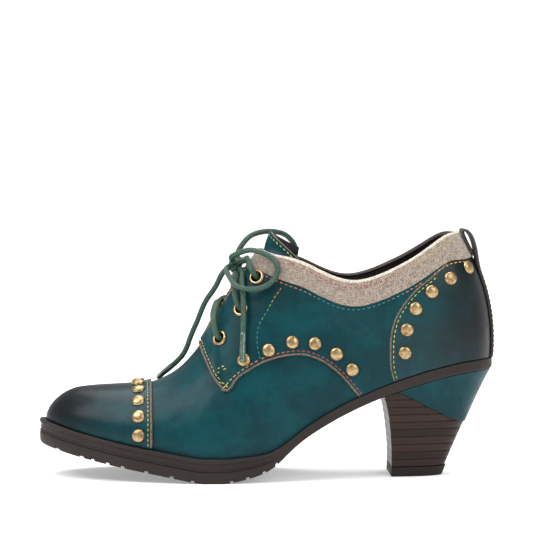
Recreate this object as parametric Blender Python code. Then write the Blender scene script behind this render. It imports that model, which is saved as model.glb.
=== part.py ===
"""A woman's heeled oxford shoe, left foot, standing empty on its sole.

The toe points along -X, the lateral (outer) side faces -Y and +Z is up. The upper is one lasted
shell. Its overlays (toe cap, quarters, counter and collar band) are cut from slabs of the same
last surface, and the laces, eyelets and studs sit on that surface too.

Lengths are in metres. While the pieces are made, x is measured from the toe tip of the sole and
z from the floor. At the end the whole shoe is moved so that the origin is at its bottom centre.
"""

import math

import bmesh
import bpy
import numpy as np
from mathutils import Matrix, Vector

# The shoe's main sizes
LENGTH = 0.248
BALL_WIDTH = 0.0845
HEEL_HEIGHT = 0.0586
TOE_SPRING = 0.018
UPPER_RISE = 0.110
COLLAR_WIDTH = 0.054
TOE_SHIFT = 0.005

# The sole
FOREFOOT_SOLE = 0.0132
WAIST_SOLE = 0.0058
TOE_LEDGE = 0.005
SIDE_LEDGE = 0.0036
HEEL_LEDGE = 0.0024
CHANNEL_DEPTH = 0.0009
TREAD_DEPTH = 0.0018
TREAD_SLOT = 0.0028

# The heel
BREAST_TOP = 0.187
HEEL_FRONT = 0.1915
TIP_LENGTH = 0.0290
TIP_WIDTH = 0.032
TIP_HEIGHT = 0.0052
COVER_STEP = 0.0006

# The upper and what is sewn to it
UPPER_WALL = 0.0020
OVERLAY = 0.0013
LASTING_MARGIN = 0.009
BAND_HEIGHT = 0.0130
THROAT_WIDTH = 0.0105
TONGUE_THICKNESS = 0.0018
TONGUE_RISE = 0.0116
TONGUE_DEPTH = 0.0009
TONGUE_CLEAR = 0.0019
TONGUE_STEP = 0.0025
INSOLE_THICKNESS = 0.0025
INSOLE_CLEAR = 0.0014
STAY_WIDTH = 0.0135
STAY_THICKNESS = 0.0013
LOOP_DEPTH = 0.0052
GAP = 0.0003
FLAP_SPLIT = 0.0006

# Eyelets, studs and laces
EYELET_RADIUS = 0.0043
EYELET_HOLE = 0.0025
EYELET_BARREL = 0.0029
EYELET_RISE = 0.0009
STUD_RADIUS = 0.0037
STUD_RISE = 0.0015
LACE_DIAMETER = 0.0030

# How finely the last surface is divided up the wall, and the two ends of the tread's flat spot
RISERS = 7
FLAT_START = 0.355
FLAT_END = 0.405

# Plan outline of the sole: share of LENGTH, then lateral and medial edge as shares of BALL_WIDTH
OUTLINE_COLUMNS = ("along", "lateral", "medial")
OUTLINE = (
    (0.000, 0.060, 0.060),
    (0.020, -0.107, 0.225),
    (0.060, -0.231, 0.343),
    (0.120, -0.331, 0.420),
    (0.200, -0.414, 0.465),
    (0.280, -0.473, 0.488),
    (0.360, -0.506, 0.481),
    (0.440, -0.497, 0.436),
    (0.520, -0.450, 0.367),
    (0.600, -0.393, 0.320),
    (0.680, -0.355, 0.308),
    (0.760, -0.341, 0.322),
    (0.840, -0.337, 0.337),
    (0.910, -0.302, 0.308),
    (0.960, -0.240, 0.246),
    (0.990, -0.128, 0.132),
    (1.000, 0.000, 0.000),
)

# Side line of the sole's underside: share of LENGTH, of TOE_SPRING and of HEEL_HEIGHT, and the
# thickness over it, from 0 for WAIST_SOLE to 1 for FOREFOOT_SOLE
SOLE_COLUMNS = ("along", "spring", "rise", "thickness")
SOLE = (
    (0.000, 1.000, 0.000, 1.00),
    (0.100, 0.670, 0.000, 0.97),
    (0.200, 0.385, 0.000, 0.94),
    (0.300, 0.130, 0.000, 0.96),
    (0.355, 0.000, 0.000, 1.00),
    (0.405, 0.000, 0.000, 0.98),
    (0.450, 0.000, 0.037, 0.82),
    (0.485, 0.000, 0.082, 0.60),
    (0.515, 0.000, 0.155, 0.36),
    (0.540, 0.000, 0.252, 0.12),
    (0.570, 0.000, 0.362, 0.00),
    (0.610, 0.000, 0.475, 0.00),
    (0.660, 0.000, 0.592, 0.00),
    (0.710, 0.000, 0.692, 0.00),
    (0.760, 0.000, 0.778, 0.00),
    (0.820, 0.000, 0.866, 0.00),
    (0.880, 0.000, 0.936, 0.00),
    (0.940, 0.000, 0.982, 0.00),
    (1.000, 0.000, 1.000, 0.00),
)

# Side wall of the sole from its top edge down: share of the thickness, and the inset as a share
# of CHANNEL_DEPTH in the forefoot, where a stitched channel runs under the welt's rim
WALL_COLUMNS = ("level", "inset", "forefoot_only")
SOLE_WALL = (
    (0.00, 0.50, 0),
    (0.16, 0.00, 1),
    (0.19, 1.00, 1),
    (0.43, 1.00, 1),
    (0.475, 0.10, 1),
    (0.52, 0.80, 1),
    (0.55, 0.00, 1),
    (1.00, 1.00, 0),
)

# Centre line of the instep: share of LENGTH, and height over the sole as a share of UPPER_RISE
RIDGE_COLUMNS = ("along", "rise")
RIDGE = (
    (0.090, 0.193),
    (0.125, 0.219),
    (0.176, 0.250),
    (0.234, 0.290),
    (0.256, 0.313),
    (0.280, 0.346),
    (0.308, 0.398),
    (0.330, 0.455),
    (0.353, 0.528),
    (0.377, 0.618),
    (0.403, 0.716),
    (0.432, 0.814),
    (0.460, 0.902),
    (0.488, 0.982),
)

# Top line of the collar: share of the way from the instep to the back, and height over the sole
# as a share of UPPER_RISE
COLLAR_COLUMNS = ("along", "rise")
COLLAR = (
    (0.00, 0.985),
    (0.13, 0.886),
    (0.23, 0.780),
    (0.335, 0.668),
    (0.44, 0.587),
    (0.55, 0.553),
    (0.66, 0.554),
    (0.75, 0.568),
    (0.87, 0.608),
    (0.95, 0.632),
    (1.00, 0.627),
)

# Shape of the wall between the sole and the top: share along the outline, where its top end lies
# on the ridge (share of LENGTH), then the reach of the lower and upper bulge outwards (shares of
# BALL_WIDTH) and along the wall (shares of its height)
SECTION_COLUMNS = ("along", "ridge", "low_out", "low_up", "high_out", "high_down")
SECTIONS = (
    (0.000, 0.097, 0.006, 0.42, 0.118, 0.00),
    (0.040, 0.109, 0.012, 0.44, 0.142, 0.00),
    (0.100, 0.137, 0.018, 0.47, 0.195, 0.00),
    (0.180, 0.196, 0.026, 0.50, 0.245, 0.00),
    (0.260, 0.256, 0.030, 0.50, 0.262, 0.00),
    (0.340, 0.314, 0.030, 0.46, 0.255, 0.00),
    (0.420, 0.370, 0.030, 0.43, 0.238, 0.00),
    (0.480, 0.414, 0.030, 0.42, 0.222, 0.00),
    (0.530, 0.455, 0.030, 0.41, 0.200, 0.01),
    (0.570, 0.488, 0.032, 0.39, 0.160, 0.05),
    (0.610, 0.500, 0.034, 0.37, 0.105, 0.12),
    (0.660, 0.500, 0.036, 0.36, 0.055, 0.22),
    (0.720, 0.500, 0.036, 0.35, 0.024, 0.32),
    (0.850, 0.500, 0.036, 0.34, 0.032, 0.36),
    (0.940, 0.500, 0.028, 0.335, 0.105, 0.36),
    (1.000, 0.500, 0.020, 0.335, 0.172, 0.360),
)
TOP_SHARE = 0.570
THROAT_START = 0.372
COLLAR_BACK = 0.922
TOE_FAN = 0.27
HEEL_FAN = 0.30

# Side outline of a quarter: shares of LENGTH, and heights as shares of UPPER_RISE over the floor
QUARTER_COLUMNS = ("along", "height")
QUARTER_EDGE = (
    (0.352, 0.700),
    (0.362, 0.615),
    (0.372, 0.560),
    (0.384, 0.505),
    (0.409, 0.450),
    (0.428, 0.500),
    (0.456, 0.548),
    (0.490, 0.590),
    (0.530, 0.616),
    (0.566, 0.624),
    (0.598, 0.610),
    (0.632, 0.570),
    (0.662, 0.512),
    (0.686, 0.450),
    (0.712, 0.380),
    (0.740, 0.300),
)

# Front edge of the counter, from the sole to the collar band
COUNTER_EDGE = (
    (0.792, 0.380),
    (0.778, 0.475),
    (0.768, 0.545),
    (0.766, 0.640),
    (0.768, 0.720),
    (0.777, 0.795),
    (0.795, 0.865),
    (0.822, 0.935),
    (0.853, 0.990),
    (0.890, 1.060),
)
CAP_EDGE = 0.2455

# Studs and eyelets of one side, by their place in the side view
QUARTER_STUDS = (
    (0.447, 0.594),
    (0.500, 0.642),
    (0.551, 0.680),
    (0.601, 0.672),
    (0.648, 0.622),
    (0.682, 0.546),
)
COUNTER_STUDS = (
    (0.797, 0.629),
    (0.801, 0.742),
    (0.820, 0.845),
    (0.855, 0.926),
    (0.896, 0.987),
    (0.936, 1.034),
)
CAP_STUDS = 10
CAP_STUD_LINE = 0.2185
CAP_STUD_PITCH = 0.0101
EYELETS = (
    (0.399, 0.690),
    (0.444, 0.836),
    (0.479, 0.988),
)

# Free end of the tongue: distance from its middle as a share of BALL_WIDTH, then how far it
# stands out there, first straight on and then more upright, as shares of TONGUE_RISE
TONGUE_COLUMNS = ("across", "straight", "upright")
TONGUE_EDGE = (
    (-0.190, 0.12, 0.08),
    (-0.143, 0.32, 0.34),
    (-0.096, 0.32, 0.56),
    (0.096, 0.32, 0.66),
    (0.143, 0.38, 0.52),
    (0.190, 0.40, 0.22),
)

# Lines of the bow's loops and of the lace's ends, as shares of LENGTH, BALL_WIDTH and UPPER_RISE
LACE_COLUMNS = ("along", "across", "height")
KNOT_PLACE = (0.433, -0.018, 1.055)
LOOP_LATERAL = (
    (0.422, -0.072, 1.083),
    (0.441, -0.112, 1.112),
    (0.468, -0.166, 1.126),
    (0.495, -0.205, 1.109),
    (0.516, -0.237, 1.075),
    (0.521, -0.260, 1.033),
    (0.510, -0.279, 0.980),
    (0.483, -0.290, 0.945),
    (0.456, -0.305, 0.942),
    (0.434, -0.275, 0.953),
    (0.417, -0.172, 0.996),
    (0.412, -0.095, 1.035),
)
LOOP_MEDIAL = (
    (0.437, 0.018, 1.100),
    (0.449, 0.036, 1.148),
    (0.466, 0.071, 1.185),
    (0.490, 0.120, 1.202),
    (0.518, 0.195, 1.202),
    (0.540, 0.237, 1.190),
    (0.558, 0.285, 1.160),
    (0.570, 0.318, 1.115),
    (0.568, 0.338, 1.060),
    (0.545, 0.338, 1.010),
    (0.510, 0.322, 0.975),
    (0.480, 0.305, 0.962),
    (0.452, 0.255, 0.972),
    (0.430, 0.150, 1.010),
    (0.421, 0.062, 1.038),
)
END_LATERAL = (
    (0.4445, -0.085, 1.018),
    (0.4450, -0.172, 0.988),
    (0.4450, -0.226, 0.950),
    (0.4460, -0.295, 0.885),
    (0.4460, -0.329, 0.815),
    (0.4450, -0.352, 0.738),
    (0.4435, -0.383, 0.666),
    (0.4420, -0.420, 0.591),
)
END_MEDIAL = (
    (0.409, -0.012, 1.018),
    (0.390, 0.000, 0.944),
    (0.367, 0.012, 0.865),
    (0.349, 0.024, 0.769),
    (0.334, 0.047, 0.688),
    (0.320, 0.071, 0.606),
    (0.299, 0.105, 0.548),
    (0.276, 0.170, 0.500),
    (0.262, 0.245, 0.464),
)

# Lower boundary between the teal heel cover and the stacked part, in the side view
COVER_LINE = (
    (0.740, 0.470),
    (0.786, 0.428),
    (0.814, 0.400),
    (0.860, 0.342),
    (0.906, 0.287),
    (0.926, 0.270),
    (0.960, 0.264),
    (1.040, 0.262),
)

# Heel form between its top and the floor: share of the height, how far the back and breast have
# moved to the tip's places, and how far the width has
HEEL_COLUMNS = ("level", "back", "breast", "width")
HEEL_FORM = (
    (1.00, 0.00, 0.00, 0.00),
    (0.80, 0.22, 0.50, 0.30),
    (0.55, 0.47, 0.84, 0.58),
    (0.30, 0.72, 1.02, 0.80),
    (0.09, 0.92, 1.02, 0.95),
    (0.00, 1.00, 1.00, 1.00),
)

COLOURS = {
    "teal_leather": (0.015, 0.105, 0.125, 1.0),
    "teal_dark": (0.012, 0.060, 0.072, 1.0),
    "linen": (0.46, 0.38, 0.31, 1.0),
    "dark_leather": (0.045, 0.032, 0.027, 1.0),
    "lining": (0.020, 0.017, 0.016, 1.0),
    "brown_rubber": (0.040, 0.031, 0.027, 1.0),
    "stacked_heel": (0.062, 0.035, 0.028, 1.0),
    "tip_rubber": (0.030, 0.025, 0.023, 1.0),
    "brass": (0.56, 0.40, 0.20, 1.0),
    "green_cord": (0.055, 0.095, 0.065, 1.0),
}
ROUGHNESS = {"brass": 0.35, "linen": 0.9, "green_cord": 0.75, "lining": 0.9}


def column(table, names, name):
    """One named column of a table."""
    return [row[names.index(name)] for row in table]


def smooth(keys, values):
    """A natural cubic spline through the values, straight beyond both ends."""
    keys = np.array(keys, float)
    values = np.array(values, float)
    steps = np.diff(keys)
    slopes = np.diff(values) / steps
    count = len(keys)
    matrix = np.eye(count)
    right = np.zeros(count)
    for i in range(1, count - 1):
        matrix[i, i - 1 : i + 2] = steps[i - 1], 2 * (steps[i - 1] + steps[i]), steps[i]
        right[i] = 6 * (slopes[i] - slopes[i - 1])
    bends = np.linalg.solve(matrix, right)

    def at(x):
        inside = min(max(x, keys[0]), keys[-1])
        i = min(max(int(np.searchsorted(keys, inside)) - 1, 0), count - 2)
        u = inside - keys[i]
        start = slopes[i] - steps[i] * (2 * bends[i] + bends[i + 1]) / 6
        change = (bends[i + 1] - bends[i]) / steps[i]
        value = values[i] + u * (start + u * (bends[i] / 2 + u * change / 6))
        slope = start + u * (bends[i] + u * change / 2)
        return float(value + slope * (x - inside))

    return at


def turn_of(along):
    """The outline parameter, 0 at the toe tip and 1 at the back, of a share along the shoe."""
    return math.acos(1 - 2 * along) / math.pi


def along_of(turn):
    """The share along the shoe of an outline parameter."""
    return (1 - math.cos(math.pi * turn)) / 2


def loop_spline():
    """The sole's edge across the shoe, round the whole outline, as one closed smooth curve."""
    turns = [turn_of(a) for a in column(OUTLINE, OUTLINE_COLUMNS, "along")]
    lateral = column(OUTLINE, OUTLINE_COLUMNS, "lateral")
    medial = column(OUTLINE, OUTLINE_COLUMNS, "medial")
    keys = turns + [2 - t for t in reversed(turns[1:-1])]
    values = lateral + list(reversed(medial[1:-1]))
    keys = [k - 2 for k in keys] + keys + [k + 2 for k in keys]
    return smooth(keys, values * 3)


EDGE_ACROSS = loop_spline()
SPRING, RISE, THICK = (
    smooth(column(SOLE, SOLE_COLUMNS, "along"), column(SOLE, SOLE_COLUMNS, name))
    for name in ("spring", "rise", "thickness")
)
RIDGE_RISE = smooth(*(column(RIDGE, RIDGE_COLUMNS, name) for name in RIDGE_COLUMNS))
COLLAR_RISE = smooth(*(column(COLLAR, COLLAR_COLUMNS, name) for name in COLLAR_COLUMNS))
LEDGE = smooth((0, 0.15, 0.4, 0.62, 1), (TOE_LEDGE, 0.0042, SIDE_LEDGE, HEEL_LEDGE, HEEL_LEDGE))
SHAPE = {
    name: smooth(
        column(SECTIONS, SECTION_COLUMNS, "along"), column(SECTIONS, SECTION_COLUMNS, name)
    )
    for name in SECTION_COLUMNS[1:]
}
TOP_TURN = turn_of(TOP_SHARE)
RIDGE_TOP = SHAPE["ridge"](TOP_SHARE)
FLAT_TURNS = turn_of(FLAT_START), turn_of(FLAT_END)


def find_throat_turn():
    """The outline parameter whose wall ends where the throat starts on the ridge."""
    low, high = 0.3, TOP_TURN
    for _ in range(40):
        middle = (low + high) / 2
        if SHAPE["ridge"](along_of(middle)) < THROAT_START:
            low = middle
        else:
            high = middle
    return low


THROAT_TURN = find_throat_turn()

# Stations round the shoe that every layer shares: the outline parameter at the end of each
# stretch, and the number of steps up to it
GRID_COLUMNS = ("end", "steps")
GRID = (
    (FLAT_TURNS[0], 12),
    (FLAT_TURNS[1], 1),
    (THROAT_TURN, 1),
    (TOP_TURN, 3),
    (1.0, 13),
)


def sole_bottom(x):
    """Height of the sole's underside, from the floor, which it meets in one flat spot."""
    along = x / LENGTH
    if FLAT_START - 0.003 < along < FLAT_END + 0.003:
        return 0.0
    return TOE_SPRING * max(0.0, SPRING(along)) + HEEL_HEIGHT * max(0.0, RISE(along))


def sole_thickness(x):
    """Height of the sole's side wall."""
    share = min(1.0, max(0.0, THICK(x / LENGTH)))
    return WAIST_SOLE + (FOREFOOT_SOLE - WAIST_SOLE) * share


def sole_top(x):
    """Height of the sole's upper face."""
    return sole_bottom(x) + sole_thickness(x)


def sole_face(x):
    """Height of the sole's upper face as it is built, flat between the shared stations."""
    places = [LENGTH * along_of(turn) for turn in grid_turns(0.0, 1.0)]
    return float(np.interp(x, places, [sole_top(place) for place in places]))


def outline_point(side, turn, inset=0.0):
    """A point of the sole's plan outline, moved inwards, and the outward direction there."""
    step = 1e-4

    def at(t):
        loop = t if side < 0 else 2 - t
        return Vector((LENGTH * along_of(t), BALL_WIDTH * EDGE_ACROSS(loop)))

    along = at(turn + step) - at(turn - step)
    outward = Vector((along.y, -along.x)).normalized() * (1 if side < 0 else -1)
    return at(turn) - outward * inset, outward


def feather_point(side, turn, inset=0.0):
    """Where the upper meets the sole, and the outward direction there."""
    ledge = LEDGE(along_of(turn))
    plan, outward = outline_point(side, turn, ledge + inset)
    return Vector((plan.x, plan.y, sole_face(plan.x) + GAP)), Vector((*outward, 0.0))


def ridge_point(x):
    """A point of the centre line over the toe and up the instep."""
    shift = TOE_SHIFT * max(0.0, 1 - x / (0.42 * LENGTH)) ** 1.5
    return Vector((x, shift, sole_top(x) + UPPER_RISE * RIDGE_RISE(x / LENGTH)))


def collar_height(x):
    """Height of the collar's top line."""
    front, back = LENGTH * RIDGE_TOP, LENGTH * COLLAR_BACK
    share = min(1.0, max(0.0, (x - front) / (back - front)))
    return sole_top(x) + UPPER_RISE * COLLAR_RISE(share)


def throat_half(x):
    """Half the width between the two facings."""
    share = (x / LENGTH - THROAT_START) / (RIDGE_TOP - THROAT_START)
    return THROAT_WIDTH * (0.34 + 0.36 * min(1.0, max(0.0, share)))


def crest_point(side, turn):
    """The top end of the wall: on the ridge, then on the facing's edge, then round the collar."""
    if turn <= THROAT_TURN + 1e-9:
        return ridge_point(LENGTH * SHAPE["ridge"](along_of(turn)))
    if turn <= TOP_TURN + 1e-9:
        x = LENGTH * SHAPE["ridge"](along_of(turn))
        half = throat_half(x)
        return ridge_point(x) + Vector((0, side * half, -half * half / 0.06))
    front, back = LENGTH * RIDGE_TOP, LENGTH * COLLAR_BACK
    first = math.asin(throat_half(front) / (COLLAR_WIDTH / 2))
    share = (turn - TOP_TURN) / (1 - TOP_TURN)
    angle = first + (math.pi - first) * share * (1 + 0.2 * (1 - share))
    start = math.sin(first / 2) ** 1.8
    along = (math.sin(angle / 2) ** 1.8 - start) / (1 - start)
    x = front + (back - front) * along
    across = COLLAR_WIDTH / 2 * math.sin(angle) if share < 1 else 0.0
    sag = throat_half(front) ** 2 / 0.06 * (1 - along)
    return Vector((x, side * across, collar_height(x) - sag))


def crest_direction(side, turn):
    """The way the wall leaves its top end, seen from above: forwards, sideways or backwards."""
    if turn < TOE_FAN:
        angle = math.pi / 2 * math.sin(math.pi / 2 * turn / TOE_FAN)
        x = LENGTH * SHAPE["ridge"](along_of(turn))
        along = (ridge_point(x + 1e-4) - ridge_point(x - 1e-4)).normalized()
    else:
        angle = math.pi / 2
        along = Vector((1, 0, 0))
        if turn > 1 - HEEL_FAN:
            angle = math.pi * (1 - math.sin(math.pi / 2 * (1 - turn) / HEEL_FAN) / 2)
    return -math.cos(angle) * along + math.sin(angle) * side * Vector((0, 1, 0))


def last_point(side, turn, level):
    """The outer face of the lasted upper. Level runs from 0 at the sole to 1 at the top."""
    share = along_of(turn)
    foot, outward = feather_point(side, turn)
    crest = crest_point(side, turn)
    height = crest.z - foot.z
    low = foot + outward * BALL_WIDTH * SHAPE["low_out"](share)
    low.z += height * SHAPE["low_up"](share)
    high = crest + crest_direction(side, turn) * BALL_WIDTH * SHAPE["high_out"](share)
    high.z -= height * SHAPE["high_down"](share)
    rest = 1 - level
    return (
        foot * rest**3
        + low * 3 * rest**2 * level
        + high * 3 * rest * level**2
        + crest * level**3
    )


def last_normal(side, turn, level):
    """The outward normal of the last surface, the same from both sides where they meet."""
    on_ridge = level > 1 - 1e-6 and turn <= THROAT_TURN + 1e-9
    if on_ridge:
        x = LENGTH * SHAPE["ridge"](along_of(turn))
        along = ridge_point(x + 1e-4) - ridge_point(x - 1e-4)
        return Vector((-along.z, 0.0, along.x)).normalized()
    step = 1e-3
    t = min(max(turn, 0.0), 1.0)
    v = min(max(level, step), 1 - step)
    if t < step or t > 1 - step:
        up = last_point(side, t, v + step) - last_point(side, t, v - step)
        return Vector((-up.z, 0.0, up.x)).normalized() * (1 if t < step else -1)
    round_step = last_point(side, t + step, v) - last_point(side, t - step, v)
    up_step = last_point(side, t, v + step) - last_point(side, t, v - step)
    normal = round_step.cross(up_step).normalized()
    return normal if side < 0 else -normal


def last_offset(side, turn, level, distance):
    """The last surface moved outwards by a distance, or inwards where it is negative."""
    return last_point(side, turn, level) + last_normal(side, turn, level) * distance


def place_on_side(side, along, height):
    """The outline parameter and level where a line across the shoe meets the upper's side."""
    target = Vector((along * LENGTH, height * UPPER_RISE))

    def miss(turn, level):
        p = last_point(side, turn, level)
        return (Vector((p.x, p.z)) - target).length

    grid = [(t / 40, v / 20) for t in range(8, 41) for v in range(1, 21)]
    turn, level = min(grid, key=lambda place: miss(*place))
    step = 0.02
    while step > 1e-5:
        near = [
            (min(turn + i * step, 1.0), min(level + j * step, 1.0))
            for i in (-1, 0, 1)
            for j in (-1, 0, 1)
        ]
        best = min(near, key=lambda place: miss(*place))
        if best == (turn, level):
            step /= 2
        turn, level = best
    return turn, level


def material(name):
    """A plain Principled material with the piece's colour."""
    found = bpy.data.materials.get(name)
    if found:
        return found
    made = bpy.data.materials.new(name)
    made.use_nodes = True
    shader = made.node_tree.nodes["Principled BSDF"]
    shader.inputs["Base Color"].default_value = COLOURS[name]
    shader.inputs["Roughness"].default_value = ROUGHNESS.get(name, 0.5)
    shader.inputs["Metallic"].default_value = 1.0 if name == "brass" else 0.0
    made.diffuse_color = COLOURS[name]
    return made


def collection(name):
    """A collection of the scene, made when it is first asked for."""
    found = bpy.data.collections.get(name)
    if not found:
        found = bpy.data.collections.new(name)
        bpy.context.scene.collection.children.link(found)
    return found


def add_mesh(name, vertices, faces, slot, merge=1e-6):
    """A mesh object of the shoe, with doubled corners merged and its faces turned outwards."""
    mesh = bpy.data.meshes.new(name)
    bm = bmesh.new()
    corners = [bm.verts.new(v) for v in vertices]
    for face in faces:
        bm.faces.new([corners[i] for i in face])
    bmesh.ops.remove_doubles(bm, verts=bm.verts, dist=merge)
    bmesh.ops.dissolve_degenerate(bm, edges=bm.edges, dist=merge)
    bmesh.ops.recalc_face_normals(bm, faces=bm.faces)
    bm.to_mesh(mesh)
    bm.free()
    mesh.materials.append(material(slot))
    made = bpy.data.objects.new(name, mesh)
    collection("heeled_oxford").objects.link(made)
    return made


def cutter(made):
    """Turns an object into a construction cutter, which isn't part of the shoe."""
    for group in made.users_collection:
        group.objects.unlink(made)
    collection("cutters").objects.link(made)
    made.hide_render = True
    made.display_type = "WIRE"
    return made


def cut(target, tool, operation):
    """A Boolean modifier on the target."""
    step = target.modifiers.new(operation.lower() + "_" + tool.name, "BOOLEAN")
    step.operation = operation
    step.object = tool
    step.solver = "EXACT"
    return step


def apply_modifiers(made):
    """Replaces an object's mesh by what its modifiers make of it."""
    bpy.context.view_layer.update()
    graph = bpy.context.evaluated_depsgraph_get()
    mesh = bpy.data.meshes.new_from_object(made.evaluated_get(graph))
    made.modifiers.clear()
    made.data = mesh
    return made


def side_prism(name, outline, low, high):
    """A prism across the shoe whose outline is given in the side view, as x and z."""
    count = len(outline)
    vertices = [(x, low, z) for x, z in outline] + [(x, high, z) for x, z in outline]
    faces = [list(range(count)), list(range(count, 2 * count))]
    for i in range(count):
        j = (i + 1) % count
        faces.append([i, j, count + j, count + i])
    return cutter(add_mesh(name, vertices, faces, "lining"))


def side_curve(rows, steps):
    """Points along a smooth side-view line through rows of shares."""
    keys = list(range(len(rows)))
    across = smooth(keys, [row[0] * LENGTH for row in rows])
    up = smooth(keys, [row[1] * UPPER_RISE for row in rows])
    count = (len(rows) - 1) * steps
    return [(across(i / steps), up(i / steps)) for i in range(count + 1)]


def shift_side_curve(points, distance):
    """A side-view line moved to its left by a distance."""
    moved = []
    for i, (x, z) in enumerate(points):
        before = points[max(i - 1, 0)]
        after = points[min(i + 1, len(points) - 1)]
        way = Vector((after[0] - before[0], after[1] - before[1])).normalized()
        moved.append((x - way.y * distance, z + way.x * distance))
    return moved


def band_line(distance):
    """The side-view line under the collar band, moved down by a distance."""
    front = LENGTH * RIDGE_TOP
    back = LENGTH * COLLAR_BACK
    points = [(front - 0.030, collar_height(front) - 0.72 * BAND_HEIGHT + 0.006)]
    count = 16
    for i in range(count + 1):
        x = front - 0.006 + (back + 0.008 - front) * i / count
        drop = BAND_HEIGHT * (0.78 + 0.22 * min(1.0, i / 3))
        points.append((x, collar_height(min(max(x, front), back)) - drop))
    points.append((back + 0.030, points[-1][1] + 0.004))
    return [(x, z - distance) for x, z in points]


def grid_turns(first, last):
    """The stations between two outline parameters.

    Every layer uses the same stations and levels, so that their flat facets lie parallel."""
    turns = [0.0]
    for end, steps in GRID:
        start = turns[-1]
        turns += [start + (end - start) * (i + 1) / steps for i in range(steps)]
    return [t for t in turns if first - 1e-9 <= t <= last + 1e-9]


def panel(a, b, c, d, other):
    """Two triangles for four corners in order, split from a to c, or else from b to d.

    The two faces of a wall run round it in opposite ways, so they take opposite splits."""
    return [[a, b, d], [b, c, d]] if other else [[a, b, c], [a, c, d]]


def slab(name, sides, turns, outer, inner, slot, first_row=0, rim=0.0):
    """A slab of the last surface between two offsets, from a row of its grid up to the top.

    Both sides join where they meet: at the toe tip, along the ridge and at the back. The rim is
    the width by which the slab also covers the collar's cut edge."""
    vertices, faces = [], []
    levels = [j / RISERS for j in range(first_row, RISERS + 1)]
    rows = len(levels) - 1
    for side in sides:
        start = len(vertices)
        size = 0
        for turn in turns:
            outside = [wall_point(side, turn, v, outer) for v in levels]
            inside = [wall_point(side, turn, v, inner) for v in reversed(levels)]
            cover = []
            if rim:
                up = rim_direction(side, turn) * GAP
                top = rim_direction(side, turn) * (GAP + outer - inner)
                over = last_offset(side, turn, 1, -rim)
                cover = [outside[-1] + top, over + top, over + up, inside[0] + up]
            section = outside + cover + inside
            size = len(section)
            vertices += section
        for i in range(len(turns) - 1):
            both_on_ridge = turns[i + 1] <= THROAT_TURN + 1e-9
            for j in range(size):
                k = (j + 1) % size
                if len(sides) == 2 and both_on_ridge and rows <= j < size - rows - 1:
                    continue
                a, b = start + i * size, start + (i + 1) * size
                inner_row = j >= size - rows - 1
                at_toe = turns[i] < 1e-9
                faces += panel(a + j, b + j, b + k, a + k, inner_row != at_toe)
        for i in (0, len(turns) - 1):
            if len(sides) == 2 and turns[i] in (0.0, 1.0):
                continue
            a = start + i * size
            for j in range(rows):
                faces.append([a + j, a + j + 1, a + size - 2 - j, a + size - 1 - j])
            if rim:
                top = a + rows
                faces.append([top, top + 1, top + 4, top + 5])
                faces.append([top + 1, top + 2, top + 3, top + 4])
    return add_mesh(name, vertices, faces, slot)


def wall_point(side, turn, level, distance):
    """An offset point of the last surface, whose lowest row stands level, clear of the sole."""
    point = last_offset(side, turn, level, distance)
    if level < 1e-6:
        point.z = last_point(side, turn, 0).z + GAP
    return point


def rim_direction(side, turn):
    """Along the surface, square to the upper's cut edge and away from it."""
    step = 1e-3
    if turn > 1 - step:
        edge = Vector((0, 1, 0))
    else:
        edge = (crest_point(side, turn + step) - crest_point(side, turn - step)).normalized()
    away = last_normal(side, turn, 1).cross(edge).normalized()
    rising = last_point(side, turn, 1) - last_point(side, turn, 0.96)
    return away if away.dot(rising) > 0 else -away


def eyelet_frame(side, along, height, out):
    """The centre and outward direction of an eyelet or stud over the last surface."""
    turn, level = place_on_side(side, along, height)
    return last_offset(side, turn, level, out), last_normal(side, turn, level)


def punch_eyelets(targets):
    """Cuts the six lace holes through the layers of each side's facing."""
    for side in (-1, 1):
        for number, (along, height) in enumerate(EYELETS, 1):
            centre, normal = eyelet_frame(side, along, height, 0)
            name = f"punch_{'lateral' if side < 0 else 'medial'}_{number}"
            profile = [(EYELET_BARREL + GAP, -0.008), (EYELET_BARREL + GAP, 0.008)]
            tool = cutter(turned(name, profile, centre, normal, 10, "lining"))
            for target in targets[side]:
                cut(target, tool, "DIFFERENCE")
                apply_modifiers(target)


def turned(name, profile, centre, normal, segments, slot, closed=False):
    """A turned piece: its profile as radius and height, round the normal through the centre."""
    rotation = normal.to_track_quat("Z", "X").to_matrix()
    vertices, faces = [], []
    count = len(profile)
    for i in range(segments):
        angle = 2 * math.pi * i / segments
        for radius, height in profile:
            local = Vector((radius * math.cos(angle), radius * math.sin(angle), height))
            vertices.append(centre + rotation @ local)
    rows = count if closed else count - 1
    for i in range(segments):
        a, b = i * count, ((i + 1) % segments) * count
        for j in range(rows):
            k = (j + 1) % count
            faces.append([a + j, b + j, b + k, a + k])
    if not closed:
        faces.append([i * count for i in range(segments)])
        faces.append([i * count + count - 1 for i in range(segments)])
    return add_mesh(name, vertices, faces, slot)


def ring_solid(name, rings, slot):
    """A solid through closed rings, with its first and last ring closed straight across."""
    vertices, faces = [], []
    count = len(rings[0])
    for ring in rings:
        vertices += ring
    for i in range(len(rings) - 1):
        a, b = i * count, (i + 1) * count
        for j in range(count):
            k = (j + 1) % count
            faces.append([a + j, a + k, b + k, b + j])
    for base in (0, (len(rings) - 1) * count):
        for j in range(count // 2):
            k, m, n = j + 1, (count - j - 1) % count, (count - j) % count
            face = [base + j, base + k, base + m, base + n]
            faces.append(list(dict.fromkeys(face)))
    return add_mesh(name, vertices, faces, slot)


def outline_ring(inset, height):
    """A closed ring round the sole's outline, lateral side first, then back along the medial."""
    turns = grid_turns(0.0, 1.0)
    ring = []
    for side, order in ((-1, turns), (1, reversed(turns[1:-1]))):
        for turn in order:
            plan, _ = outline_point(side, turn, inset(turn))
            ring.append(Vector((plan.x, plan.y, height(plan.x))))
    return ring


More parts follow.
